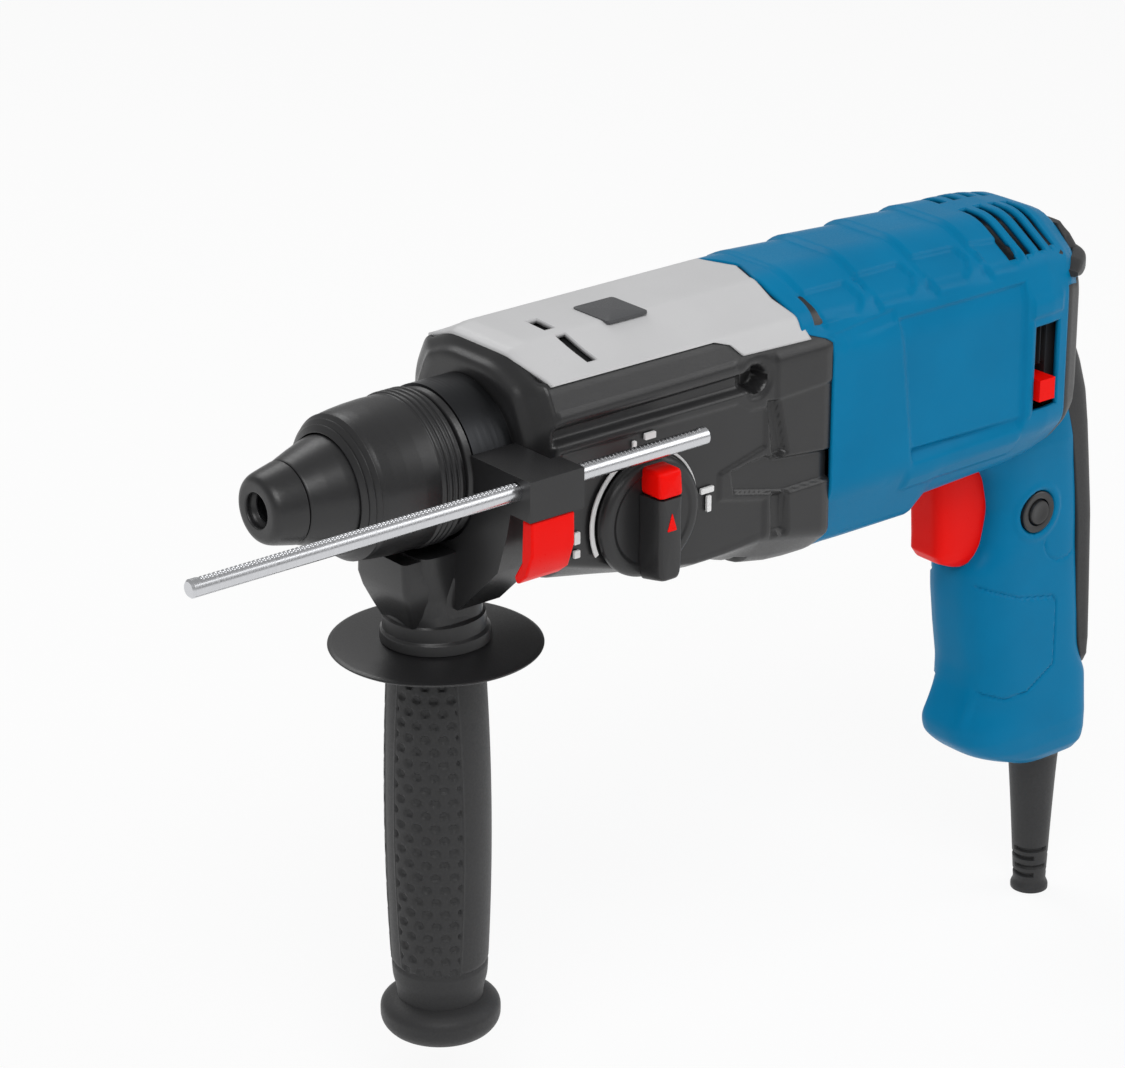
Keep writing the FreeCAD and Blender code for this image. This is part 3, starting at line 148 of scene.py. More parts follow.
materials = {
    "black_plastic": mouldedAbs("glassFilledNylonBlack", "#262627", "#1e1e1f", 0.6, 0.34, 0.03, 0.5),
    "blue_plastic": mouldedAbs("mouldedAbsBlue", "#0079a8", "#006e9b", 0.6, 0.36, 0.03, 0.08),
    "grey_cover": mouldedAbs("mouldedAbsPaleGrey", "#cbcbcc", "#c2c2c3", 0.6, 0.38, 0.025, 0.4),
    "red_plastic": mouldedAbs("mouldedAbsRed", "#fb0d05", "#f00a03", 0.7, 0.32, 0.015, 0.1),
    "grey_patch": mouldedAbs("printedGreyPatch", "#4a4b4d", "#444547", 0.7, 0.5, 0.015),
    "soft_rubber": softElastomer("softElastomerBlack", "#29292a", "#212122"),
    "white_print": mouldedAbs("padPrintWhite", "#ececec", "#e2e2e2", 0.6, 0.5, 0.01),
    "bright_steel": turnedSteel("zincPlatedRod", "#d2d3d6", 0.24, 0.1),
    "tool_steel": turnedSteel("hardenedToolSteel", "#8d8f93", 0.32, 0.15),
    "dark_steel": turnedSteel("blackenedSpringSteel", "#3a3b3d", 0.38, 0.2),
    "core_steel": turnedSteel("laminatedCoreSteel", "#6c6e72", 0.45, 0.5),
    "copper": woundCopper("enamelledCopperWire"),
    "carbon": mouldedAbs("pressedCarbon", "#1b1b1c", "#141415", 0.5, 0.55, 0.02),
    "zinc_steel": turnedSteel("zincPlatedSteel", "#b9bcc0", 0.3, 0.2),
}
nodeSlots = {entry["node"]: entry["material_slot"] for entry in frame["record"]["subparts"]}
nodeBodies = {node: body for body, nodes in frame["record"]["behaviour"]["bodies"].items() for node in nodes}
for nodeName, nodeObject in frame["nodes"].items():
    nodeObject.data.materials.clear()
    nodeObject.data.materials.append(materials[nodeSlots[nodeName]])
print("materials made:", len(materials))


# mesh helpers

# Makes a piece from vertex and face arrays, marks its hard edges and lets it ride on a body.
def meshObject(name, points, faces, slotName, body, sharp=38.0, replaced=()):
    mesh = bpy.data.meshes.new(name)
    faces = faces.tolist() if isinstance(faces, np.ndarray) else faces
    mesh.from_pydata(np.asarray(points, float).tolist(), [], faces)
    piece = bpy.data.objects.new(name, mesh)
    scene.collection.objects.link(piece)
    work = bmesh.new()
    work.from_mesh(mesh)
    bmesh.ops.remove_doubles(work, verts=work.verts, dist=2e-6)
    bmesh.ops.delete(work, geom=[point for point in work.verts if not point.link_faces], context="VERTS")
    bmesh.ops.recalc_face_normals(work, faces=work.faces)
    markHardEdges(work, sharp)
    work.to_mesh(mesh)
    work.free()
    mesh.materials.append(materials[slotName])
    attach(piece, body)
    if replaced:
        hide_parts(*replaced)
    return piece


def markHardEdges(work, sharp):
    for face in work.faces:
        face.smooth = True
    for edge in work.edges:
        if len(edge.link_faces) == 2 and edge.calc_face_angle(0.0) > math.radians(sharp):
            edge.smooth = False


# Quads of a grid of rows by columns, closed round the columns if asked.
def gridFaces(rows, columns, closed):
    r = np.arange(rows - 1)[:, None]
    c = np.arange(columns if closed else columns - 1)[None, :]
    nextC = (c + 1) % columns
    near, far = r * columns, (r + 1) * columns
    quads = np.stack([near + c, near + nextC, far + nextC, far + c], -1)
    return quads.reshape(-1, 4)


# A tube of sections, grid[row, column] = point; each end is closed by a fan to its middle.
def closedSurface(name, grid, slotName, body, sharp=38.0, replaced=(), caps=(True, True)):
    rows, columns = grid.shape[:2]
    points = grid.reshape(-1, 3)
    faces = gridFaces(rows, columns, True).tolist()
    for end, wanted in ((0, caps[0]), (rows - 1, caps[1])):
        if wanted:
            centre = len(points)
            points = np.vstack([points, grid[end].mean(0)])
            ring = end * columns + np.arange(columns)
            fan = np.stack([ring, np.roll(ring, -1), np.full(columns, centre)], 1)
            faces += fan.tolist()
    return meshObject(name, points, faces, slotName, body, sharp, replaced)


# A profile of (along, radius) pairs in millimetres, closed in a loop and turned about an axis.
def turnedSurface(name, profile, slotName, body, axis="x", centre=(0, 0, 0), steps=120, sharp=30.0,
                  replaced=()):
    profile = np.asarray(profile, float)
    turn = np.linspace(0, 2 * math.pi, steps, endpoint=False)
    along = np.repeat(profile[:, :1], steps, 1)
    a = profile[:, 1:2] * np.cos(turn)
    b = profile[:, 1:2] * np.sin(turn)
    order = {"x": (along, a, b), "y": (a, along, b), "z": (a, b, along)}[axis]
    grid = (np.stack(order, -1) + np.array(centre)) * mm
    rows = len(profile)
    faces = gridFaces(rows, steps, True)
    last = gridFaces(2, steps, True)
    closing = np.where(last < steps, last + (rows - 1) * steps, last - steps)
    return meshObject(name, grid.reshape(-1, 3), np.vstack([faces, closing]), slotName, body, sharp, replaced)


# Turns each corner of a closed profile into a short curve of the given size, as a quadratic arc.
def roundProfile(points, radii, steps=6):
    points = np.asarray(points, float)
    radii = np.broadcast_to(np.asarray(radii, float), (len(points),))
    before = np.roll(points, 1, 0) - points
    after = np.roll(points, -1, 0) - points
    lengthBefore = np.linalg.norm(before, axis=1, keepdims=True)
    lengthAfter = np.linalg.norm(after, axis=1, keepdims=True)
    reach = np.minimum(radii[:, None], 0.48 * np.minimum(lengthBefore, lengthAfter))
    start = points + before / lengthBefore * reach
    end = points + after / lengthAfter * reach
    t = np.linspace(0, 1, steps)[None, :, None]
    curve = (1 - t) ** 2 * start[:, None] + 2 * t * (1 - t) * points[:, None] + t ** 2 * end[:, None]
    return curve.reshape(-1, 2)


# A merged copy of a CAD node with its edges rounded off.
def softenedCopy(node, width, segments=3, sharp=32.0, slotName=None):
    source = frame["nodes"][node]
    mesh = bpy.data.meshes.new(node + "Soft")
    work = bmesh.new()
    work.from_mesh(source.data)
    bmesh.ops.remove_doubles(work, verts=work.verts, dist=2e-6)
    bmesh.ops.dissolve_limit(work, angle_limit=math.radians(1.5), verts=work.verts, edges=work.edges)
    for face in work.faces:
        face.smooth = True
    work.to_mesh(mesh)
    work.free()
    for layer in ("custom_normal", "sharp_edge"):
        if layer in mesh.attributes:
            mesh.attributes.remove(mesh.attributes[layer])
    piece = bpy.data.objects.new(node + "Soft", mesh)
    scene.collection.objects.link(piece)
    bevel = piece.modifiers.new("edgeRound", "BEVEL")
    bevel.width = width * mm
    bevel.segments = segments
    bevel.limit_method = "ANGLE"
    bevel.angle_limit = math.radians(sharp)
    bevel.harden_normals = True
    slotName = slotName or nodeSlots[node]
    mesh.materials.clear()
    mesh.materials.append(materials[slotName])
    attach(piece, nodeBodies[node])
    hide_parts(node)
    return piece


# Rows of places: each stretch is (start, end, step).
def spread(*stretches):
    runs = [np.linspace(a, b, max(2, int(round(abs(b - a) / step)) + 1)) for a, b, step in stretches]
    return np.unique(np.round(np.concatenate(runs), 4))


def insideBy(px, pz, corners):
    # signed distance to a closed outline: the nearest edge's distance, positive inside by the crossing rule
    corners = np.asarray(corners, float)
    nearest = np.full(px.shape, 1e9)
    inside = np.zeros(px.shape, bool)
    for (ax, az), (bx, bz) in zip(corners, np.roll(corners, -1, 0)):
        ex, ez = bx - ax, bz - az
        along = np.clip(((px - ax) * ex + (pz - az) * ez) / (ex * ex + ez * ez + 1e-12), 0, 1)
        nearest = np.minimum(nearest, np.hypot(px - ax - along * ex, pz - az - along * ez))
        crosses = ((az > pz) != (bz > pz)) & (px < ex * (pz - az) / (bz - az if bz != az else 1e-12) + ax)
        inside ^= crosses
    return np.where(inside, nearest, -nearest)


def smooth(t):
    t = np.clip(t, 0, 1)
    return t * t * (3 - 2 * t)


# The sign of a value times its size raised to a power: turns a circle's cosine and sine into a superellipse.
def powered(value, power):
    return np.sign(value) * np.abs(value) ** power


# Each row becomes a weighted mean of its neighbours down the grid; the ends repeat their edge row.
def smoothRows(values, weights):
    weights = np.array(weights, float)
    reach = len(weights) // 2
    padded = np.pad(values, ((reach, reach), (0, 0)), "edge")
    return sum(weight * padded[i:i + len(values)] for i, weight in enumerate(weights / weights.sum()))


# A flat outline in x and z repeated at each depth y.
def plateLoops(outline, depths):
    return np.stack([np.column_stack([outline[:, 0], np.full(len(outline), y), outline[:, 1]])
                     for y in depths])


def pressed(px, pz, corners, soft=1.2):
    # 1 inside an outline, 0 outside, with a soft edge of that width inside the line
    return smooth(insideBy(px, pz, corners) / soft)


def loopGrid(rowPlaces, stations, halfCorners, reach, fills, arc=5):
    # each row's section: corners interpolated between stations, rounded by quadratic arcs, its sides filled
    # evenly or at given shares; the half section runs from the top middle to the bottom middle,
    # mirrored in y
    stations = np.asarray(stations, float)
    table = np.asarray(halfCorners, float)
    rows, kinds = len(rowPlaces), table.shape[1]
    half = np.stack([np.stack([np.interp(rowPlaces, stations, table[:, k, c]) for c in (0, 1)], -1)
                     for k in range(kinds)], 1)
    mirrored = half[:, ::-1] * np.array([-1.0, 1.0])
    ring = np.concatenate([half, mirrored], 1)
    reachRing = np.concatenate([reach, reach[::-1]])[None, :, None]
    before = np.roll(ring, 1, 1) - ring
    after = np.roll(ring, -1, 1) - ring
    lengthBefore = np.linalg.norm(before, axis=2, keepdims=True)
    lengthAfter = np.linalg.norm(after, axis=2, keepdims=True)
    cut = np.minimum(reachRing, 0.45 * np.minimum(lengthBefore, lengthAfter))
    start = ring + before / lengthBefore * cut
    end = ring + after / lengthAfter * cut
    t = np.linspace(0, 1, arc)[None, None, :, None]
    arcs = (1 - t) ** 2 * start[:, :, None] + 2 * t * (1 - t) * ring[:, :, None] + t ** 2 * end[:, :, None]
    sides, bottom, top = fills[:-2], fills[-2], fills[-1]
    shares = list(sides) + [bottom] + [mirrorShare(fill) for fill in sides[::-1]] + [top]
    parts = []
    for k in range(2 * kinds):
        parts.append(arcs[:, k])
        share = sideShares(shares[k])[None, :, None]
        parts.append(end[:, k, None] + (np.roll(start, -1, 1)[:, k, None] - end[:, k, None]) * share)
    loop = np.concatenate(parts, 1)
    x = np.broadcast_to(np.asarray(rowPlaces, float)[:, None], loop.shape[:2])
    return np.stack([x, loop[..., 0], loop[..., 1]], -1)


def sideShares(fill):
    return np.linspace(0, 1, fill + 2)[1:-1] if isinstance(fill, int) else np.asarray(fill, float)


def mirrorShare(fill):
    return fill if isinstance(fill, int) else 1 - np.asarray(fill, float)[::-1]


def outwardOf(grid):
    # the outward direction in each row's own plane, from the loop's tangent
    tangent = np.roll(grid, -1, 1) - np.roll(grid, 1, 1)
    normal = np.stack([np.zeros(grid.shape[:2]), -tangent[..., 2], tangent[..., 1]], -1)
    normal /= np.linalg.norm(normal, axis=2, keepdims=True) + 1e-9
    middle = grid.mean(1, keepdims=True)
    flip = np.sign(((grid - middle) * normal).sum((1, 2)))[:, None, None]
    return normal * flip

# motor housing

motorLook = {"wall": 1.8, "plateLength": 26.5, "plateRise": 1.5, "panelDepth": 1.15, "recessDepth": 1.4,
             "window": (304.0, 317.0, -29.0, 2.7), "ventWidth": 3.9,
             "vents": (295.8, 302.9, 310.0, 316.9), "rearCap": 322.0, "rearCapTop": 13.6}


def makeMotorShell():
    look = motorLook
    stations = [192.4, 207.4, 228, 256, 262, 302, 312, 324, 331, 335.5, 337.8]
    half = [[(14.4, 39.0), (32.9, 29.7), (37.2, 18.6), (37.2, -36), (25.4, -60.8), (13, -61.9)],
            [(14, 39.2), (33.3, 28.9), (37.4, 16), (37.4, -36), (25.2, -60.6), (13, -61.9)],
            [(14, 39.6), (33.4, 27.6), (37.6, 14), (37.6, -36), (25, -60.9), (13, -62.0)],
            [(14, 39.7), (33.4, 27.6), (37.6, 14), (37.6, -36), (25, -60.9), (13, -62.0)],
            [(14, 39.7), (33.4, 27.6), (37.6, 14), (37.6, -36), (26, -54.6), (13, -55.6)],
            [(14, 39.4), (33.2, 27.4), (37.6, 14), (37.6, -36), (26, -52.8), (13, -53.8)],
            [(14, 39.0), (32.8, 27.2), (37.2, 14), (37.2, -36), (26, -51.5), (13, -53.0)],
            [(13.5, 37.2), (30.5, 25.0), (35.2, 14), (35.2, -36), (25, -48.6), (13, -50.5)],
            [(13, 34.3), (27.5, 22.2), (31.4, 12), (31.4, -34), (23, -45.5), (12, -47.5)],
            [(12, 30.8), (24.5, 19.5), (27.6, 10), (27.6, -31), (20, -41.5), (11, -43.4)],
            [(10, 27.0), (21, 17.0), (23.6, 8), (23.6, -28), (17, -37.5), (9, -39.0)]]
    w0, w1, wLow, wHigh = look["window"]
    ventRows = [edge for v in look["vents"] for edge in (v, v + look["ventWidth"])]
    rows = np.unique(np.round(np.concatenate([
        spread((192.4, 337.8, 1.1)), [w0, w1, look["rearCap"]], ventRows]), 3))
    keep = np.concatenate([[True], np.diff(rows) > 0.3])
    fixed = np.isin(rows, np.round([w0, w1, look["rearCap"]] + ventRows, 3))
    rows = rows[keep | fixed]
    flankTop, flankFoot = 14 - 4, -36 + 4        # ends of the flank's straight stretch
    edges = [(flankTop - edge) / (flankTop - flankFoot) for edge in (wHigh, wLow)]
    sideFill = np.unique(np.concatenate([np.linspace(0.03, 0.97, 46), edges]))
    grid = loopGrid(rows, stations, half, np.array([6, 3.5, 4, 4, 6, 5.0]), [17, 12, sideFill, 16, 8, 14, 18])
    x, y, z = grid[..., 0], np.abs(grid[..., 1]), grid[..., 2]
    # the front edge: arched over the roof, set back below it
    roof = np.interp(y, [0, 12, 20, 33], [197.2, 192.6, 192.4, 194.4])
    edge = roof + (207.6 - roof) * smooth((25.5 - z) / 7.0)
    grid[..., 0] = x = x + (edge - 192.4) * np.clip(1 - (x - 192.4) / 30.0, 0, 1)
    out = np.zeros(x.shape)
    plate = (x - 201.3 - 0.22 * (38 - z)) / look["plateLength"]        # overlapping plates of the roof
    share = plate - np.floor(plate)
    ramp = smooth(share / 0.07) * (1 - share) - 0.5
    out += look["plateRise"] * ramp * smooth((z - 22.5) / 3.5) * smooth((x - 200) / 4) * smooth((297 - x) / 6)
    panels = [[(201, 34.0), (224, 34.1), (226.5, 29.6), (221.6, 25.2), (201, 25.0)],
              [(227.8, 34.3), (250.6, 34.9), (253, 31.0), (246.4, 26.2), (228.8, 26.0), (230.2, 29.0)],
              [(255.4, 34.9), (277, 34.9), (279.6, 31.2), (273.0, 26.3), (252.6, 26.3), (257, 30)],
              [(283.0, 34.4), (299, 33.6), (301.6, 28.0), (296, 25.8), (279.4, 26.2), (284, 30)]]
    for outline in panels:
        out -= look["panelDepth"] * pressed(x, z, outline, 0.8)
    # the flank's steps: height above the wall, width of the soft edge, outline
    steps = [
        (-0.5, 1.4, [(207, 15.5), (237.5, 18.5), (237.5, 24), (207, 21.5)]),
        (-look["recessDepth"], 1.6, [(238.0, 20.5), (300.0, 20.5), (300.5, -32.4), (244.9, -33.4)]),
        (-1.9, 1.6, [(245.4, -28.8), (299.5, -30.4), (300.2, -33.4), (245.4, -34.6)]),
        (0.9, 1.2, [(301.6, 5.6), (318.9, 5.6), (318.9, 13.5), (301.6, 13.5)]),
        (0.8, 1.1, [(300.8, 5.0), (303.4, 5.0), (303.4, -31.0), (300.8, -31.0)]),
        (-0.8, 0.7, [(208, -37.5), (236, -38.6), (236, -39.8), (208, -38.7)]),
        (0.9, 2.5, [(243, -37.0), (300, -35.4), (300, -46), (243, -46)])]
    for height, soft, outline in steps:
        out += height * pressed(x, z, outline, soft)
    grid = grid + outwardOf(grid) * out[..., None]
    rowsCount, columns = grid.shape[:2]
    quads = gridFaces(rowsCount, columns, True)
    r = quads[:, 0] // columns
    middleX = (rows[r] + rows[r + 1]) / 2
    corner = grid.reshape(-1, 3)[quads]
    middleY, middleZ = np.abs(corner[..., 1].mean(1)), corner[..., 2].mean(1)
    windowHole = (middleX > w0) & (middleX < w1) & (middleZ > wLow) & (middleZ < wHigh) & (middleY > 25)
    ventHole = np.zeros(len(quads), bool)
    for v in look["vents"]:
        ventHole |= (middleX > v) & (middleX < v + look["ventWidth"]) & (middleY > 4.5) & (middleZ > 27.6)
    rearCap = (middleX > look["rearCap"]) & (middleZ < look["rearCapTop"])
    shell = quads[~(windowHole | ventHole | rearCap)]
    rearQuads = quads[rearCap]
    points = grid.reshape(-1, 3) * mm
    ring = (rowsCount - 1) * columns + np.arange(columns)
    fan = np.stack([ring, np.roll(ring, -1), np.full(columns, len(points))], 1)
    points = np.vstack([points, grid[-1].mean(0) * mm + np.array([0.3, 0, 0]) * mm])
    for name, faces, slotName in (("motorShell", shell.tolist(), "blue_plastic"),
                                  ("rearCap", rearQuads.tolist() + fan.tolist(), "soft_rubber")):
        piece = meshObject(name, points, faces, slotName, "housing", 70)
        wall = piece.modifiers.new("wall", "SOLIDIFY")
        wall.thickness = look["wall"] * mm
        wall.offset = -1
        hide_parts("motor_housing")


def makeVentShadeSheet():
    # a dark sheet under the slots of the roof, painted shade standing in for the dark inside of the empty
    # housing: each section along the tool is a flat top with drooping sides
    y = np.linspace(-31, 31, 41)
    z = np.interp(np.abs(y), [0, 14, 31], [34.6, 34.6, 25.0])
    loop = np.concatenate([np.stack([y, z], -1), np.stack([y, z - 1.0], -1)[::-1]])
    xs = np.linspace(293.5, 322.5, 8)
    grid = np.stack([np.column_stack([np.full(len(loop), x), loop]) for x in xs])
    closedSurface("ventShadeSheet", grid * mm, "black_plastic", "housing", 40)


def makeWindowGrille():
    # black ribs just inside each window: a sheet with smooth upright steps, set back in its lower part
    for side in (-1, 1):
        xs = np.linspace(303.4, 318.6, 20)
        zs = np.linspace(-30, 4.2, 140)
        gx, gz = np.meshgrid(xs, zs, indexing="ij")
        slats = np.abs(((gx - 303.4) / 3.1) % 1 - 0.5) * 2
        depth = 34.9 - 3.4 * smooth((slats - 0.45) / 0.3) - 0.25 * (gx - 303.4)
        hole = smooth((-13.5 - gz) / 1.2)
        depth = depth - 7.5 * hole
        front = np.stack([gx, side * depth, gz], -1)
        back = np.stack([gx, side * (depth - 1.0), gz], -1)
        count = gx.size
        faces = gridFaces(20, 140, False)
        rim = np.concatenate([np.arange(140), np.arange(139, count, 140),
                              np.arange(count - 1, count - 141, -1), np.arange(count - 140, -1, -140)])
        nextRim = np.roll(rim, -1)
        edge = np.stack([rim, nextRim, nextRim + count, rim + count], 1)
        edge = edge[rim != nextRim]
        points = np.concatenate([front.reshape(-1, 3), back.reshape(-1, 3)]) * mm
        meshObject("windowGrille" + ("Left" if side < 0 else "Right"), points,
                   np.vstack([faces, faces[:, ::-1] + count, edge]).tolist(), "black_plastic", "housing", 30)


makeMotorShell()
# painted shade: a black sheet under the roof slots so that they read dark
makeVentShadeSheet()
makeWindowGrille()
print("motor housing made")

# gear housing

gearLook = {"grooveDepth": 3.4, "holePlace": (173.4, 13.0), "holeRadius": 5.0,
            "labelDepth": 2.0, "channelDepth": 2.6, "neckRadius": 25.1}


def makeGearShell():
    look = gearLook
    stations = [81, 83, 85, 87.5, 92, 120, 133, 148, 161, 177, 187.5, 196, 204, 207.9]
    drops = [31.5, 34.5, 37.5, 39.5, 41.5, 46.6, 48.6, 52.6, 52.8, 58.6, 60.6, 61.2, 61.2, 60.6]
    half = []
    for x, drop in zip(stations, drops):
        t = smooth(np.array((x - 81) / 6.5))
        tight = 0.6 if x > 207 else 0.0
        corner = np.interp(x, [81, 92, 110, 127, 150, 168, 178, 207.9],
                           [-12, -31.5, -37.4, -43.0, -46.4, -46, -44.2, -50.6])
        half.append([(12 + 2 * t, 31.5 + 6.3 * t - tight), (23 + 8.8 * t, 27.0 + 2.0 * t - tight),
                     (30 + 6.9 * t - tight, 11 + 7.5 * t), (30 + 6.7 * t - tight, corner),
                     (21 + 5.0 * t, -drop + 0.8), (11, -drop)])
    rows = spread((81, 84, 0.6), (84, 207.9, 0.72))
    grid = loopGrid(rows, stations, half, np.array([5, 3.0, 3.0, 2.6, 5, 4.0]), [12, 16, 84, 20, 10, 16, 12])
    x, y, z = grid[..., 0], np.abs(grid[..., 1]), grid[..., 2]
    out = np.zeros(x.shape)
    hx, hz = look["holePlace"]
    away = np.hypot(x - hx, z - hz)
    side = smooth((y - 30) / 3)
    # the side's steps: height above the wall, width of the soft edge, outline
    steps = [
        (-look["grooveDepth"], 2.4, [(86, 9.4), (86, 16.6), (172, 17.4), (172, 9.2)]),
        (0.7, 1.6, [(88, 17.4), (88, 20.8), (165, 21.6), (165, 18.2)]),
        (0.6, 1.1, [(181.2, 19.8), (208.5, 19.2), (208.5, 4.6), (181.5, 3.4)]),
        (-0.8, 1.3, [(89, 7.6), (165, 7.0), (171, 3.4), (178.5, 3.0), (178.5, -12), (158, -17.2),
                     (158, -25.6), (178.5, -30.6), (178.5, -44.6), (150, -46.2), (126, -43.0),
                     (108, -36.8), (90, -31.4)]),
        (-look["channelDepth"], 1.5, [(177.4, 5.0), (183.4, 4.2), (188.2, -16.4), (180.8, -17.6)]),
        (-look["labelDepth"], 1.1, [(162.0, -16.6), (178.0, -14.6), (183.0, -17.0), (209.5, -19.6),
                                    (209.5, -31.0), (187, -31.0), (163.6, -25.4)]),
        (-look["channelDepth"], 1.5, [(180.2, -29.6), (188.4, -30.4), (189.0, -46), (180.6, -45.4)])]
    for height, soft, outline in steps:
        out += side * height * pressed(x, z, outline, soft)
    out -= side * smooth((7.4 - away) / 1.6) * 0.8
    out -= side * smooth((look["holeRadius"] - away) / 1.3) * 7.0
    # room under the cover
    out -= 1.7 * smooth((z - 29.4) / 1.5) * smooth((x - 85.6) / 2.5) * smooth((190 - x) / 3)
    lug = np.hypot((x - 172.0) / 4.4, (z + 55.6) / 2.2)
    out -= smooth((y - 18) / 3) * 3.2 * smooth((1.15 - lug) / 0.4)
    out -= smooth((207.9 - x) / -1.2 + 1) * 0.35
    grid = grid + outwardOf(grid) * out[..., None]
    columns = grid.shape[1]
    turn = np.arctan2(grid[0, :, 2], grid[0, :, 1])
    neck = look["neckRadius"]
    front = []
    for share, x in ((1.0, 80.3), (0.55, 80.3), (0.0, 80.3), (0.0, 61.6), (0.0, 61.0)):
        circle = np.stack([np.full(columns, x), neck * np.cos(turn), neck * np.sin(turn)], -1)
        if x < 61.5:
            circle[:, 1:] *= 0.96
        rim = grid[0] * np.array([0, 0.975, 0.975]) + np.array([x, 0, 0])
        front.append(circle * (1 - share) + rim * share)
    grid = np.concatenate([np.stack(front[::-1]), grid], 0)
    return closedSurface("gearShell", grid * mm, "black_plastic", "housing", 75, ("gear_housing",))


# grey cover

coverLook = {"wall": 1.8, "rise": 0.28, "slotRows": (107.1, 112.4), "slots": ((-10.0, 1.4), (-27.5, -15.0))}


def makeTopCover():
    look = coverLook
    slotStart, slotEnd = look["slotRows"]
    rows = np.unique(np.concatenate([spread((84.6, 206.9, 1.0)), look["slotRows"]]))
    shares = np.linspace(-1, 1, 121)
    gx, gs = np.meshgrid(rows, shares, indexing="ij")
    low = np.interp(gx, [84.6, 90, 162, 169, 173.5, 206.9], [28.6, 28.6, 28.4, 26.4, 22.4, 21.6])
    top = np.interp(gx, [84.6, 87, 94, 207], [35.4, 37.0, 38.2, 38.5])
    # the section runs over a flat top, a shoulder and a short steep skirt: straight pieces rounded by
    # averaging
    across = np.abs(gs)
    half = np.select([across < 0.40, across < 0.80],
                     [across / 0.40 * 14.6, 14.6 + (across - 0.40) / 0.40 * 17.6],
                     32.2 + (across - 0.80) / 0.20 * (29.2 - low) * 0.55)
    high = np.select([across < 0.40, across < 0.80], [top, top - (across - 0.40) / 0.40 * (top - 29.4)],
                     29.4 - (across - 0.80) / 0.20 * (29.4 - low))
    for _ in range(5):
        half[:, 1:-1] = (half[:, :-2] + 2 * half[:, 1:-1] + half[:, 2:]) / 4
        high[:, 1:-1] = (high[:, :-2] + 2 * high[:, 1:-1] + high[:, 2:]) / 4
    rear = np.interp(across, [0, 0.33, 0.6, 1], [195.6, 191.0, 190.9, 197.6])
    front = 84.6 + 4.6 * smooth((across - 0.35) / 0.5)
    place = front + (gx - 84.6) / 122.3 * (rear - front)
    grid = np.stack([place, half * np.sign(gs), high + look["rise"]], -1)
    for cx, cy in ((98, -24), (152, -24), (98, 24), (152, 24)):
        bump = np.clip(1 - np.abs(place - cx) / 2.2 - np.abs(grid[..., 1] - cy) / 2.2, 0, 1)
        grid[..., 2] += 0.35 * smooth(bump * 2)
    quads = gridFaces(len(rows), len(shares), False)
    r, c = quads[:, 0] // len(shares), quads[:, 0] % len(shares)
    middleX = (rows[r] + rows[r + 1]) / 2
    middleY = grid.reshape(-1, 3)[quads][..., 1].mean(1)
    hole = np.zeros(len(quads), bool)
    for low, high in look["slots"]:
        hole |= (middleX > slotStart) & (middleX < slotEnd) & (middleY > low) & (middleY < high)
    piece = meshObject("coverShell", grid.reshape(-1, 3) * mm, quads[~hole], "grey_cover", "housing", 34,
                       ("top_cover",))
    wall = piece.modifiers.new("wall", "SOLIDIFY")
    wall.thickness = look["wall"] * mm
    wall.offset = -1
    return piece


def makeCoverPlate():
    # the plain dark patch on the cover's top: a thin plate with round corners laid on the cover
    grid = roundProfile([(124.8, -17.5), (124.8, 1.2), (142.0, 1.2), (142.0, -17.5)], 1.5)
    rings = np.stack([np.column_stack([grid, np.full(len(grid), z)]) for z in (38.0, 39.02, 39.12)])
    middle = np.array([133.4, -8.15, 0])
    rings[2] = (rings[2] - middle) * np.array([0.985, 0.98, 1]) + middle
    closedSurface("coverPlate", rings * mm, "grey_patch", "housing", 30)


makeGearShell()
makeTopCover()
makeCoverPlate()
print("gear housing and cover made")

# chuck

# shoulder steps: place along the tool and radius; rear ridges: place along the tool
chuckLook = {"shoulderSteps": ((24.2, 21.3), (25.9, 22.9), (27.6, 24.1)),
             "rearRidges": (51.2, 53.4, 55.6, 57.8)}


def makeChuck():
    # cap, sleeve and ring: profiles of place along the tool and radius, turned about it
    cap = [(-4.0, 6.0), (-4.0, 9.2), (-3.4, 10.6), (-2.0, 11.6), (0.0, 12.2), (4.0, 13.1), (6.9, 13.75),
           (7.2, 13.4), (7.2, 10.2), (3.0, 10.0), (3.0, 5.6), (0.0, 5.5), (-1.2, 6.6), (-2.6, 6.9),
           (-2.9, 5.8)]
    rounds = [0.5, 0.8, 1.2, 1, 1, 1, 0.4, 0.2, 0.3, 0.3, 0.3, 0.3, 0.6, 0.4, 0.3]
    turnedSurface("capShape", roundProfile(cap, rounds), "black_plastic", "spindle", replaced=("dust_cap",))
    sleeve = [(7.5, 10.4), (7.5, 13.5), (8.0, 13.9), (14.0, 16.0), (20.0, 17.85), (22.3, 18.4),
              (29.0, 18.4), (35.6, 17.6), (35.6, 15.2), (20, 15.2), (20, 13.2), (10.5, 13.0), (10.5, 10.4)]
    rounds = [0.0 if corner == (22.3, 18.4) else 0.4 for corner in sleeve]       # one corner stays sharp
    turnedSurface("sleeveShape", roundProfile(sleeve, rounds), "black_plastic", "locking_sleeve",
                  replaced=("locking_sleeve",))
    ring = [(22.9, 18.95), (22.9, 19.3)]
    for x, radius in chuckLook["shoulderSteps"]:
        ring += [(x - 0.35, radius - 0.1), (x, radius + 0.25), (x + 0.25, radius - 0.35)]
    ring += [(29.5, 24.4), (33, 24.9), (38, 25.35), (44, 25.6), (49.5, 25.5)]
    for x in chuckLook["rearRidges"]:
        ring += [(x - 0.75, 25.4), (x - 0.3, 26.15), (x + 0.5, 26.2), (x + 0.9, 25.4)]
    ring += [(59.4, 25.4), (60.0, 24.8), (60.0, 22.8), (36.6, 22.6), (36.6, 18.95)]
    turnedSurface("ringShape", roundProfile(ring, 0.45, 4), "black_plastic", "spindle",
                  replaced=("change_ring",))


makeChuck()
print("chuck made")

# handle

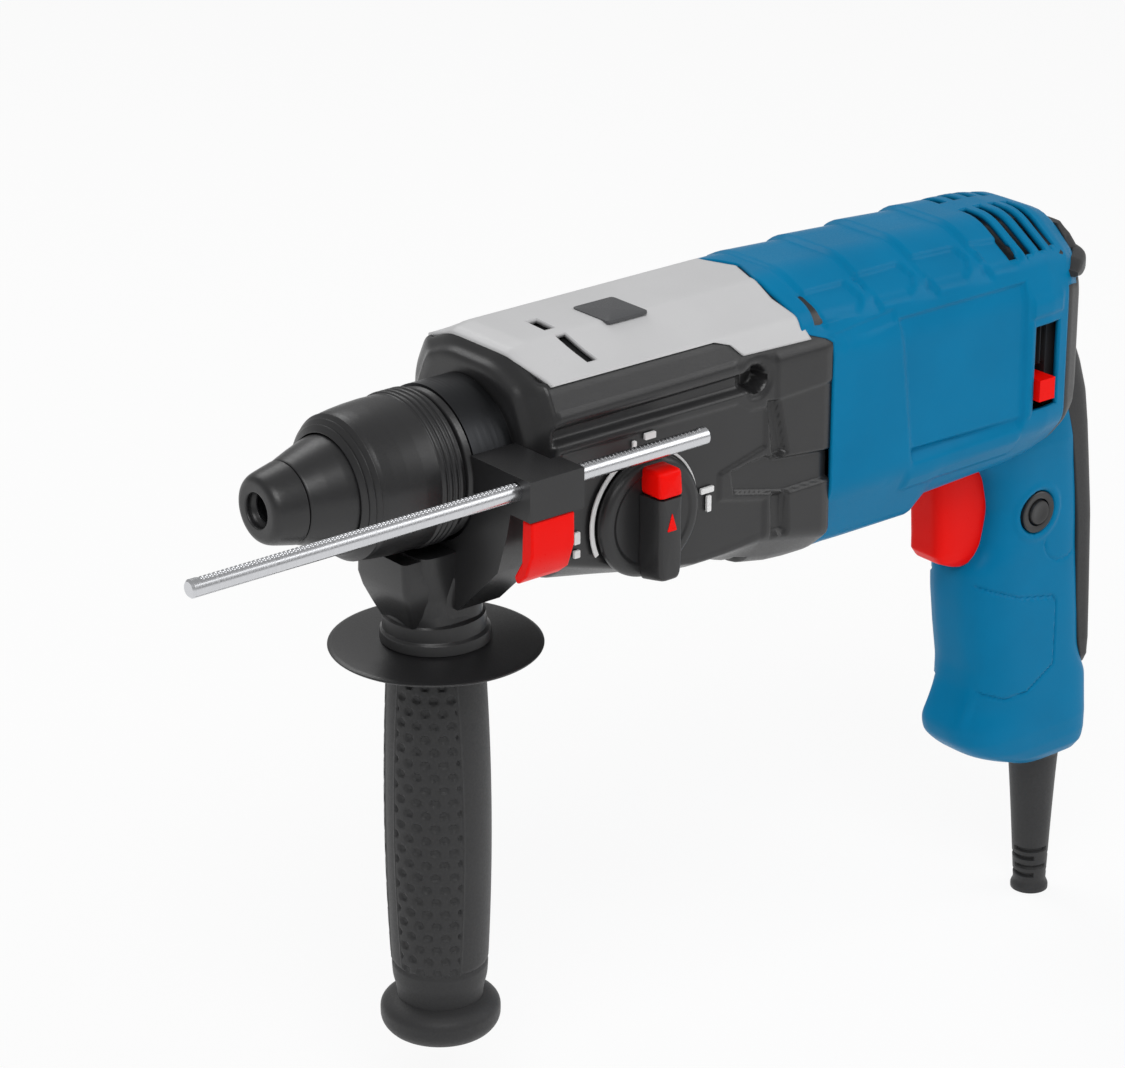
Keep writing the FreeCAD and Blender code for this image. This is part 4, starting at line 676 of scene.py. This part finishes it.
handleLook = {"seamDepth": 0.55, "padRise": 0.45, "lockPlace": (331.0, -80.5), "lockRecess": 8.8}

# places down the handle: height, front of the blue shell, where the soft back starts, back, half width
handleLines = np.array([
    (-42.0, 300.0, 347.8, 352.6, 19.0), (-54.0, 302.0, 349.6, 356.0, 19.2),
    (-64.0, 309.0, 350.8, 359.0, 18.2), (-78.0, 312.5, 353.4, 362.0, 17.2),
    (-92.0, 309.0, 354.6, 363.8, 16.9), (-100.0, 302.5, 355.6, 364.4, 16.8),
    (-112.0, 303.0, 356.8, 365.0, 17.0), (-127.0, 305.0, 358.0, 365.4, 17.2),
    (-142.0, 307.4, 359.0, 365.2, 17.2), (-149.0, 306.6, 361.6, 365.0, 17.2),
    (-156.0, 303.2, 365.2, 365.2, 17.4), (-163.0, 299.8, 365.5, 365.5, 17.8),
    (-170.0, 301.6, 365.7, 365.7, 18.1), (-177.0, 309.5, 365.8, 365.8, 17.6),
    (-182.0, 321.0, 365.4, 365.4, 16.4), (-185.4, 332.0, 363.0, 363.0, 13.8)])


def handleSection(places, lowX, highX, half, roundFront, roundBack, counts):
    # closed loops at each height: with u from -1 to 1 along the section, the half width is (1 - |u|^n)^(1/n),
    # n being 2 / roundFront before the middle and 2 / roundBack behind it
    v = np.linspace(-1, 1, counts // 2 + 1)
    u = np.sin(v * math.pi / 2)[None, :]
    n = np.where(u < 0, 2 / roundFront, 2 / roundBack)
    width = (1 - np.abs(u) ** n) ** (1 / n)
    u = np.concatenate([u, u[:, -2:0:-1]], 1)
    width = np.concatenate([-width, width[:, -2:0:-1]], 1)
    x = (lowX + highX)[:, None] / 2 + (highX - lowX)[:, None] / 2 * u
    y = half[:, None] * width
    return np.stack([x, y, np.broadcast_to(places[:, None], x.shape)], -1)


def makeHandleShell():
    heights = spread((-42, -185.4, 0.8))[::-1]
    order = handleLines[::-1]
    read = lambda column: np.interp(heights, order[:, 0], order[:, column])
    back = np.minimum(read(2) + 1.2, read(3))
    grid = handleSection(heights, read(1), back, read(4), 0.62, 0.34, 300)
    grid[..., 0] = smoothRows(grid[..., 0], (1, 2, 3, 4, 5, 4, 3, 2, 1))
    x, y, z = grid[..., 0], np.abs(grid[..., 1]), grid[..., 2]
    out = np.zeros(x.shape)
    lockX, lockZ = handleLook["lockPlace"]
    away = np.hypot(x - lockX, (z - lockZ))
    flank = smooth((y - 9) / 4)
    pad = [(290, -99.5), (298, -101.6), (306.7, -106.4), (323.8, -113.6), (340.6, -117.2), (342.4, -119.0),
           (342.4, -144.4), (329.2, -152.2), (318.8, -152.8), (310.2, -149.5), (303.0, -142.9), (290, -138)]
    edge = insideBy(x, z, pad)
    out += handleLook["padRise"] * smooth(edge / 0.8 + 0.5) * flank
    out -= handleLook["seamDepth"] * smooth(1.1 - np.abs(edge + 0.4) / 0.75) * flank
    hollow = np.exp(-((x - 311) / 13.0) ** 2 - ((z + 158) / 7.5) ** 2)
    out -= 1.8 * hollow * flank
    out -= flank * smooth((handleLook["lockRecess"] - away) / 1.4) * 2.6
    out += flank * 0.5 * smooth(1 - np.abs(away - 10.2) / 2.2)
    arcX, arcZ = 345.5, -93.6
    ringAway = np.abs(np.hypot(x - arcX, z - arcZ) - 9.6)
    out -= flank * 0.5 * smooth(1.0 - ringAway / 0.8) * smooth((-93 - z) / 1.0) * smooth((352 - x) / 2)
    tangent = np.roll(grid, -1, 1) - np.roll(grid, 1, 1)
    normal = np.stack([tangent[..., 1], -tangent[..., 0], np.zeros(x.shape)], -1)
    normal /= np.linalg.norm(normal, axis=2, keepdims=True) + 1e-9
    normal *= np.sign(((grid - grid.mean(1, keepdims=True)) * normal).sum((1, 2)))[:, None, None]
    grid = grid + normal * out[..., None]
    foot = grid[-1]
    middle = foot.mean(0)
    closing = [middle + (foot - middle) * scale + np.array([0, 0, drop])
               for scale, drop in ((0.93, -0.5), (0.7, -0.6))]
    grid = np.concatenate([grid, np.stack(closing)])
    return closedSurface("handleShape", grid * mm, "blue_plastic", "housing", 40, ("handle_shell",))


def makeSoftBack():
    # the soft back: sections down the rear, each a crescent from the blue shell's edge round the back
    # stations: height, where the soft back starts, back, half width
    stations = np.array([
        (30.0, 334.5, 336.5, 17.0), (26.0, 334.6, 339.6, 20.5), (21.0, 334.8, 343.4, 22.0),
        (15.5, 335.0, 344.2, 22.0), (13.0, 336.0, 340.2, 20.0), (7.0, 336.0, 339.9, 19.2),
        (0.0, 335.6, 341.4, 18.8), (-8.0, 335.4, 344.2, 18.8), (-16.0, 335.6, 348.2, 18.8),
        (-26.0, 337.0, 353.2, 18.8), (-38.0, 342.0, 356.9, 18.6), (-51.0, 346.4, 358.6, 18.3),
        (-64.0, 349.6, 360.4, 17.6), (-77.0, 352.0, 362.2, 17.0), (-89.0, 354.0, 363.8, 16.5),
        (-105.0, 355.2, 364.8, 16.2), (-122.0, 356.2, 365.5, 16.2), (-140.0, 358.2, 365.7, 16.2),
        (-147.0, 360.6, 365.5, 15.2), (-151.0, 363.4, 365.4, 12.5)])
    heights = spread((30, -151, 1.0))[::-1]
    order = stations[::-1]
    read = lambda column: np.interp(heights, order[:, 0], order[:, column])
    low, high, half = read(1), read(2), read(3)
    t = np.linspace(0, 2 * math.pi, 160, endpoint=False)[None, :]
    x = np.where(np.cos(t) > 0, low[:, None] + (high - low)[:, None] * np.abs(np.cos(t)) ** 0.55,
                 low[:, None] - 1.5 * np.abs(np.cos(t)) ** 0.4)
    y = half[:, None] * powered(np.sin(t), 0.5)
    z = np.broadcast_to(heights[:, None], x.shape)
    grid = np.stack([x, y, z], -1)
    grid[..., 0] = smoothRows(grid[..., 0], (1, 2, 3, 2, 1))
    closedSurface("softBack", grid * mm, "soft_rubber", "housing", 40, ("soft_grip",))


def makeRubberBand():
    # the rubber bumper round the rear corner of the motor housing: a bent strip with round edges
    outer = np.array([(325.0, 36.4), (331.0, 33.2), (336.4, 29.4), (341.2, 24.6), (344.6, 17.0), (345.0, 0.0),
                      (344.6, -17.0), (341.2, -24.6), (336.4, -29.4), (331.0, -33.2), (325.0, -36.4)])
    share = np.linspace(0, 10, 121)
    line = np.stack([np.interp(share, np.arange(11), outer[:, c]) for c in (0, 1)], -1)
    for _ in range(30):
        line[1:-1] = (line[:-2] + 2 * line[1:-1] + line[2:]) / 4
    along = np.gradient(line, axis=0)
    across = np.stack([-along[:, 1], along[:, 0]], -1) / np.linalg.norm(along, axis=1, keepdims=True)
    across *= np.where((across * (line - np.array([300, 0]))).sum(1) < 0, -1, 1)[:, None]
    section = roundProfile([(0.0, 15.0), (0.0, 20.4), (-5.0, 21.6), (-5.0, 13.8)], [1.6, 1.8, 0.6, 0.6])
    taper = 0.35 + 0.65 * smooth((np.minimum(share, 10 - share)) / 1.2)
    points = line[:, None, :] + across[:, None, :] * (section[None, :, :1])
    z = 17.4 + (section[None, :, 1] - 17.4) * taper[:, None]
    grid = np.concatenate([points, z[..., None]], -1)
    closedSurface("rearBumper", grid * mm, "soft_rubber", "housing", 45, ("rubber_element",))


def makeLockCap():
    # lock button: a shallow dished disc on the left side
    x, z = handleLook["lockPlace"]
    face = -17.3
    profile = [(face + 3, 0.0), (face + 3, 4.7), (face - 0.2, 4.75), (face - 0.9, 4.4), (face - 1.0, 3.4),
               (face - 0.6, 2.4), (face - 0.6, 0.0)]
    turnedSurface("lockCap", [(a, max(r, 0.01)) for a, r in profile], "black_plastic", "lock_button",
                  axis="y", centre=(x, 0, z), steps=64, replaced=("lock_button",))
    ring = [(face + 4, 5.3), (face - 0.15, 5.3), (face - 0.3, 5.6), (face - 0.3, 7.5), (face, 7.9),
            (face + 4, 7.9)]
    turnedSurface("lockRing", ring, "black_plastic", "housing", axis="y", centre=(x, 0, z), steps=72)


makeHandleShell()
makeSoftBack()
makeRubberBand()
makeLockCap()
print("handle made")

# side handle

gripLook = {"axisX": 66.0, "top": -65.2, "length": 129.6, "endRadius": 15.9, "middleRadius": 18.0,
            "dimpleDepth": 0.8, "dimpleGap": (6.0, 4.6), "dimpleSize": (2.0, 1.5), "knobRadius": 20.6}


def makeGripShape():
    # radius as a function of height and angle: a swelling by a sine, staggered dimples, three long flats
    look = gripLook
    foot = look["top"] - look["length"]
    zs = spread((look["top"], foot, 0.62))[::-1]
    t = np.linspace(0, 2 * math.pi, 300, endpoint=False)
    gz, gt = np.meshgrid(zs, t, indexing="ij")
    share = (look["top"] - gz) / look["length"]
    swell = np.sin(np.pi * np.clip(share * 1.04, 0, 1)) ** 0.8
    radius = look["endRadius"] + (look["middleRadius"] - look["endRadius"]) * swell
    radius = radius - 1.2 * smooth((share - 0.93) / 0.07) + 0.9 * smooth((0.03 - share) / 0.03)
    radius -= 0.6 * smooth((share - 0.885) / 0.01) * smooth((0.905 - share) / 0.01)
    (gapAcross, gapAlong), (dotAcross, dotAlong) = look["dimpleGap"], look["dimpleSize"]
    for middle in (-2.45, 0.69, 2.0):
        away = (gt - middle + math.pi) % (2 * math.pi) - math.pi
        width = 0.60 + 0.10 * np.sin(np.pi * share)
        field = smooth((width - np.abs(away)) / 0.03)
        field = field * smooth((share - 0.035) / 0.01) * smooth((0.90 - share) / 0.01)
        rim = smooth(1 - np.abs(np.abs(away) - width - 0.02) / 0.035)
        rim = rim * smooth((share - 0.03) / 0.02) * smooth((0.91 - share) / 0.02)
        across = away * 17.5 / gapAcross
        along = gz / gapAlong
        odd = np.round(along).astype(int) % 2
        u = (across + 0.5 * odd + 0.5) % 1 - 0.5
        v = along - np.round(along)
        dot = smooth((1 - np.hypot(u * gapAcross / dotAcross, v * gapAlong / dotAlong)) / 0.35)
        radius += 0.18 * field - look["dimpleDepth"] * dot * field + 0.25 * rim
    grid = np.stack([look["axisX"] + radius * np.cos(gt), radius * np.sin(gt), gz], -1)
    knob = roundProfile([(foot + 0.3, 14.6), (foot - 0.8, 17.6), (foot - 3.2, look["knobRadius"]),
                         (foot - 9.0, look["knobRadius"]), (foot - 12.6, 17.6), (foot - 13.0, 8.0),
                         (foot - 12.2, 7.0), (foot - 12.2, 0.05)], [0.4, 1.5, 2.2, 3.0, 2.0, 0.5, 0.5, 0], 6)
    knob = knob[knob[:, 1] > 0.01]
    low = np.stack([look["axisX"] + knob[:, 1:2] * np.cos(t)[None], knob[:, 1:2] * np.sin(t)[None],
                    np.repeat(knob[:, :1], len(t), 1)], -1)
    collar = np.stack([look["axisX"] + 8.0 * np.cos(t), 8.0 * np.sin(t), np.full(len(t), look["top"])], -1)
    grid = np.concatenate([collar[None], grid, low])
    closedSurface("gripShape", grid * mm, "soft_rubber", "side_grip", 40, ("side_grip",))


def makeFlangeShape():
    top = -61.5
    profile = [(top, 5.0), (top, 17.2), (top - 0.8, 18.4), (top - 1.0, 22.0), (top - 1.6, 30.0),
               (top - 2.1, 34.8), (top - 2.6, 36.0), (top - 3.3, 35.6), (top - 3.0, 30.0), (top - 2.6, 20.0),
               (top - 3.3, 17.4), (top - 3.4, 5.0)]
    profile = roundProfile(profile, [0, 0.8, 1, 2, 3, 1, 0.6, 0.4, 2, 1, 0.6, 0])
    turnedSurface("flangeShape", profile, "black_plastic", "side_handle", axis="z",
                  centre=(gripLook["axisX"], 0, 0), steps=160, replaced=("grip_flange",))


rodLook = {"front": -62.0, "back": 141.0, "y": -48.0, "z": 4.8, "radius": 3.0, "toothPitch": 1.6,
           "toothDepth": 0.42}


def makeRodShape():
    # a round bar with a flat, toothed upper edge: the radius is cut by a saw of the place along it
    look = rodLook
    xs = spread((look["front"] + 0.7, look["back"] - 0.7, 0.2))
    t = np.linspace(0, 2 * math.pi, 48, endpoint=False)
    gx, gt = np.meshgrid(xs, t, indexing="ij")
    saw = np.abs((gx / look["toothPitch"]) % 1 - 0.5) * 2
    upper = smooth((np.sin(gt + 0.35) - 0.62) / 0.12)
    inner = smooth((gx - look["front"] - 3) / 1.0) * smooth((look["back"] - 3 - gx) / 1.0)
    radius = look["radius"] - upper * inner * (0.12 + look["toothDepth"] * smooth((saw - 0.25) / 0.5))
    grid = np.stack([gx, look["y"] + radius * np.cos(gt), look["z"] + radius * np.sin(gt)], -1)
    for end, index in ((look["front"], 0), (look["back"], -1)):
        face = grid[index].copy()
        face[:, 0] = end
        face[:, 1:] = (face[:, 1:] - [look["y"], look["z"]]) * 0.78 + [look["y"], look["z"]]
        grid = np.concatenate([face[None], grid]) if index == 0 else np.concatenate([grid, face[None]])
    closedSurface("rodShape", grid * mm, "bright_steel", "depth_rod", 35, ("depth_rod",))


def makeStemShape():
    # the clamp's stem: superellipse sections from under the neck down to the flange, with a collar at its
    # foot; stations: height, middle, reach along X, half width, power
    stations = np.array([
        (-26.6, 61.5, 12.0, 15.5, 0.35), (-34.0, 61.8, 12.6, 14.6, 0.4), (-43.0, 62.6, 13.8, 13.6, 0.5),
        (-49.0, 63.6, 14.8, 13.8, 0.65), (-52.0, 64.6, 15.6, 14.6, 0.8), (-52.6, 65.2, 17.2, 16.4, 0.95),
        (-57.5, 65.6, 17.6, 17.0, 1.0), (-58.2, 65.8, 18.4, 18.0, 1.0), (-61.6, 66.0, 18.8, 18.6, 1.0)])
    heights = spread((-26.6, -52, 0.8), (-52, -61.6, 0.3))
    order = stations[::-1]
    middle, reach, half, power = (np.interp(heights, order[:, 0], order[:, c])[:, None] for c in (1, 2, 3, 4))
    t = np.linspace(0, 2 * math.pi, 160, endpoint=False)[None, :]
    x = middle + reach * powered(np.cos(t), power)
    y = half * powered(np.sin(t), power)
    grid = np.stack([x, y, np.broadcast_to(heights[:, None], x.shape)], -1)
    closedSurface("stemShape", grid * mm, "black_plastic", "side_handle", 30)
    # the front plate: rounded rectangles from under the chuck down to the stem's foot, leaning back as they
    # go down; stations: height, front, back, half width
    plate = np.array([(-27.4, 43.4, 59.0, 13.6), (-37.0, 43.8, 57.5, 13.6), (-42.0, 45.2, 56.5, 13.0),
                      (-48.0, 47.8, 55.0, 11.4), (-53.0, 49.8, 54.6, 9.0), (-56.8, 51.0, 54.2, 6.2)])
    loops = []
    for z, front, back, wide in plate:
        loop = roundProfile([(front, -wide), (front, wide), (back, wide), (back, -wide)], 2.4, 6)
        loops.append(np.column_stack([loop, np.full(len(loop), z)]))
    grid = np.stack(loops)
    grid[0, :, :2] = (grid[0, :, :2] - grid[0, :, :2].mean(0)) * 0.96 + grid[0, :, :2].mean(0)
    closedSurface("stemTongue", grid * mm, "black_plastic", "side_handle", 30)


makeStemShape()
frame["nodes"]["clamp_bolt"].data.materials[0] = materials["dark_steel"]
makeGripShape()
makeFlangeShape()
makeRodShape()
for node, width in (("clamp_body", 1.3), ("stop_button", 0.9)):
    softenedCopy(node, width)
print("side handle made")

# mode dial

dialLook = {"x": 124.3, "z": -22.2, "face": -37.3, "wingHalf": 5.9, "wingLong": 20.4}


def makeDialShape():
    look = dialLook
    face = look["face"]
    profile = [(face, 6.0), (face, 20.6), (face - 0.8, 21.0), (face - 2.6, 20.8), (face - 4.2, 19.2),
               (face - 4.2, 16.5), (face - 3.7, 15.6), (face - 3.7, 3.0), (face, 3.0)]
    profile = roundProfile(profile, [0.2, 0.4, 0.8, 1.2, 1.0, 0.4, 0.4, 0.2, 0.2])
    turnedSurface("dialDisc", profile, "black_plastic", "mode_dial", axis="y",
                  centre=(look["x"], 0, look["z"]), steps=144, replaced=("mode_dial",))
    # the wing: superellipse sections stacked outwards from the disc, waisted in the middle, hollow at its
    # upper end
    ys = np.array([0, 2.5, 5.5, 8.0, 9.0, 9.45, 9.6])
    shrink = np.array([0.0, 0.15, 0.35, 0.6, 0.95, 1.5, 2.4])
    t = np.linspace(0, 2 * math.pi, 180, endpoint=False)
    loops = []
    for y, less in zip(ys, shrink):
        long = look["wingLong"] - less * 0.8 - 0.12 * y
        across = look["wingHalf"] - 0.10 * y - less * 0.55
        x = across * powered(np.cos(t), 0.32)
        z = long * powered(np.sin(t), 0.42) - 0.4
        x = x * (1 - 0.06 * np.exp(-(z / 9.0) ** 2))
        high = smooth((z - 9.3) / 0.8)
        z = z - high * (z - 9.5)
        loops.append(np.stack([look["x"] + x, np.full(len(t), face - 4.0 - y), look["z"] + z], -1))
    closedSurface("dialWing", np.stack(loops) * mm, "black_plastic", "mode_dial", 40)
    arrow = [(look["x"] + a, look["z"] + b) for a, b in ((-2.0, -1.6), (2.0, -1.6), (0.0, 4.6))]
    plate = roundProfile(arrow, 0.4, 4)
    rings = plateLoops(plate, (face - 13.0, face - 13.72, face - 13.78))
    closedSurface("dialPointer", rings * mm, "red_plastic", "mode_dial", 30)


def makeMarksShape():
    # printed arc, thick on the left and thin on the right, and a plain bar at each of the three positions
    look = dialLook
    face = look["face"]
    t = np.linspace(math.radians(205), math.radians(-32), 150)
    width = 0.55 + 0.75 * smooth((np.degrees(t) - 20) / 150)
    low = 21.7
    high = low + width * 1.25
    y = np.full(len(t), face + 0.32)
    inner = np.stack([look["x"] + low * np.cos(t), y, look["z"] + low * np.sin(t)], -1)
    outer = np.stack([look["x"] + high * np.cos(t), y, look["z"] + high * np.sin(t)], -1)
    shift = np.array([0, -0.5, 0])
    grid = np.stack([inner, outer, outer + shift, inner + shift], 1)
    closedSurface("markArc", grid * mm, "white_print", "housing", 30, ("dial_marks",))
    # bars: place along X and up from the dial's axis, width, height
    signs = {"left": (-28.6, -1.2, 2.4, 4.2), "leftLow": (-28.6, -6.8, 2.4, 2.6),
             "top": (2.2, 27.0, 4.6, 2.2), "topSmall": (-4.4, 25.4, 1.4, 2.4),
             "right": (27.2, 1.6, 5.6, 2.0), "rightStem": (28.0, -3.4, 1.8, 5.6)}
    for name, (dx, dz, wide, tall) in signs.items():
        cx, cz = look["x"] + dx, look["z"] + dz
        plate = roundProfile([(cx - wide / 2, cz - tall / 2), (cx + wide / 2, cz - tall / 2),
                              (cx + wide / 2, cz + tall / 2), (cx - wide / 2, cz + tall / 2)], 0.35, 4)
        rings = plateLoops(plate, (face + 0.9, face))
        closedSurface("mark" + name[0].upper() + name[1:], rings * mm, "white_print", "housing", 30)


def makeCatchShape():
    # red catch over the wing's upper end: stacked rounded rectangles, its outer face sloping towards the rim
    look = dialLook
    t = np.linspace(0, 2 * math.pi, 96, endpoint=False)
    loops = []
    for y, less in ((3.6, 0.3), (4.4, 0.0), (12.4, 0.0), (13.3, 0.35), (13.7, 1.0)):
        x = (4.9 - less) * powered(np.cos(t), 0.25)
        z = (4.6 - less) * powered(np.sin(t), 0.25) + 14.4
        slope = 0.10 * (z - 9.8) * (y > 12)
        loops.append(np.stack([look["x"] + x, look["face"] - y + slope, look["z"] + z], -1))
    closedSurface("catchShape", np.stack(loops) * mm, "red_plastic", "dial_button", 40, ("dial_button",))


makeDialShape()
makeMarksShape()
makeCatchShape()
print("dial made")

# trigger and cord guard

def makeTriggerShape():
    # a bow of sections down the trigger: flat flanks, a hollow front face, tapered foot
    stations = np.array([(-58.0, 287.6, 315.0, 8.4), (-64.0, 287.4, 314.8, 8.5), (-75.0, 288.4, 314.2, 8.5),
                         (-86.0, 289.0, 313.4, 8.4), (-91.0, 289.0, 312.8, 8.3), (-94.6, 291.6, 311.4, 8.0),
                         (-97.0, 297.0, 309.4, 7.4), (-98.3, 301.5, 306.6, 6.4)])
    heights = spread((-58, -98.3, 0.6))[::-1]
    order = stations[::-1]
    front, back, half = (np.interp(heights, order[:, 0], order[:, c]) for c in (1, 2, 3))
    grid = handleSection(heights, front, back, half, 0.30, 0.22, 160)
    hollow = smooth((front[:, None] + 9 - grid[..., 0]) / 9)
    grid[..., 1] *= 1 - 0.06 * hollow
    closedSurface("triggerShape", grid * mm, "red_plastic", "trigger", 40, ("trigger",))


def makeGuardShape():
    # tapered rubber sleeve; four staggered rows of cuts near the foot let it bend
    foot, top = -248.3, -186.2
    zs = spread((foot, top, 0.5))
    t = np.linspace(0, 2 * math.pi, 120, endpoint=False)
    gz, gt = np.meshgrid(zs, t, indexing="ij")
    share = (top - gz) / (top - foot)
    radius = 10.0 - 3.9 * share ** 0.8
    radius = radius + 1.1 * smooth((share - 0.93) / 0.05) + 0.9 * smooth((0.05 - share) / 0.05)
    for row, place in enumerate((0.70, 0.76, 0.82, 0.88)):
        turned = np.sin(2 * gt + (math.pi / 2) * (row % 2))
        radius -= 1.3 * smooth((0.013 - np.abs(share - place)) / 0.004) * smooth((turned + 0.5) / 0.15)
    lean = 352.3 + 1.6 * share
    grid = np.stack([lean + radius * np.cos(gt), radius * np.sin(gt), gz], -1)
    bore = np.stack([lean[0] + 3.9 * np.cos(t), 3.9 * np.sin(t), np.full(len(t), foot)], -1)
    deep = bore + np.array([0, 0, 9.0])
    grid = np.concatenate([deep[None], bore[None], grid])
    closedSurface("guardShape", grid * mm, "soft_rubber", "housing", 35, ("cord_guard",))


makeTriggerShape()
makeGuardShape()
print("trigger and cord guard made")

# floor, light and camera

# lamps: place, size, power
stageLook = {"floorHeight": -0.2485, "floorSize": 6.0, "floorColour": "#fbfbfb", "paperGlow": 0.86,
             "skyLevel": 0.42, "lampTarget": (0.15, 0, -0.05),
             "lamps": {"keyLamp": ((-0.7, -1.1, 1.5), (1.2, 0.9), 17.0),
                       "fillLamp": ((1.5, -0.9, 0.9), (1.4, 1.0), 8.0),
                       "rimLamp": ((0.2, 1.3, 1.3), (1.2, 0.8), 8.0)}}


def makeCamera():
    view = {"place": (-0.6635, -0.9615, 0.4695), "azimuth": -39.17, "elevation": 22.33, "roll": 0.05,
            "lens": 128.0, "sensor": 36.0}
    turn, lift = math.radians(view["azimuth"]), math.radians(view["elevation"])
    back = Vector((math.sin(turn) * math.cos(lift), -math.cos(turn) * math.cos(lift), math.sin(lift)))
    right = Vector((0, 0, 1)).cross(back).normalized()
    up = back.cross(right)
    data = bpy.data.cameras.new("viewCamera")
    data.lens = view["lens"]
    data.sensor_width = view["sensor"]
    data.sensor_fit = "HORIZONTAL"
    data.clip_end = 20.0
    camera = bpy.data.objects.new("viewCamera", data)
    scene.collection.objects.link(camera)
    camera.matrix_world = Matrix((
        (right.x, up.x, back.x, view["place"][0]), (right.y, up.y, back.y, view["place"][1]),
        (right.z, up.z, back.z, view["place"][2]), (0, 0, 0, 1)))
    scene.camera = camera


def makeFloor():
    half = stageLook["floorSize"]
    z = stageLook["floorHeight"]
    mesh = bpy.data.meshes.new("studioFloor")
    corners = [(-half, -half, z), (half, -half, z), (half, half, z), (-half, half, z)]
    mesh.from_pydata(corners, [], [(0, 1, 2, 3)])
    floor = bpy.data.objects.new("studioFloor", mesh)
    scene.collection.objects.link(floor)
    material = bpy.data.materials.new("paperSweep")   # matt white paper that keeps a soft shadow
    material.use_nodes = True
    tree = material.node_tree
    shader = tree.nodes["Principled BSDF"]
    shader.inputs["Base Color"].default_value = hexLinear(stageLook["floorColour"])
    shader.inputs["Roughness"].default_value = 0.9
    glow = addNode(tree, "ShaderNodeEmission", {}, {"Color": (1, 1, 1, 1), "Strength": 1.0})
    rays = addNode(tree, "ShaderNodeLightPath")
    seen = addNode(tree, "ShaderNodeMath", {"operation": "MAXIMUM"},
                   {0: rays.outputs["Is Camera Ray"], 1: rays.outputs["Is Glossy Ray"]})
    share = addNode(tree, "ShaderNodeMath", {"operation": "MULTIPLY"},
                    {0: seen.outputs["Value"], 1: stageLook["paperGlow"]})
    both = addNode(tree, "ShaderNodeMixShader", {}, {"Fac": share.outputs["Value"]})
    tree.links.new(shader.outputs["BSDF"], both.inputs[1])
    tree.links.new(glow.outputs["Emission"], both.inputs[2])
    tree.links.new(both.outputs["Shader"], tree.nodes["Material Output"].inputs["Surface"])
    mesh.materials.append(material)


def makeLamp(name, place, size, power):
    data = bpy.data.lights.new(name, "AREA")
    data.shape = "RECTANGLE"
    data.size, data.size_y = size
    data.energy = power
    lamp = bpy.data.objects.new(name, data)
    scene.collection.objects.link(lamp)
    lamp.location = place
    aim = Vector(stageLook["lampTarget"]) - Vector(place)
    lamp.rotation_euler = aim.to_track_quat("-Z", "Y").to_euler()


def makeLight():
    world = bpy.data.worlds.new("softRoom")
    scene.world = world
    world.use_nodes = True
    shader = world.node_tree.nodes["Background"]
    shader.inputs["Color"].default_value = (1, 1, 1, 1)
    shader.inputs["Strength"].default_value = stageLook["skyLevel"]
    for name, (place, size, power) in stageLook["lamps"].items():
        makeLamp(name, place, size, power)


makeCamera()
makeFloor()
makeLight()
print("stage, light and camera set")
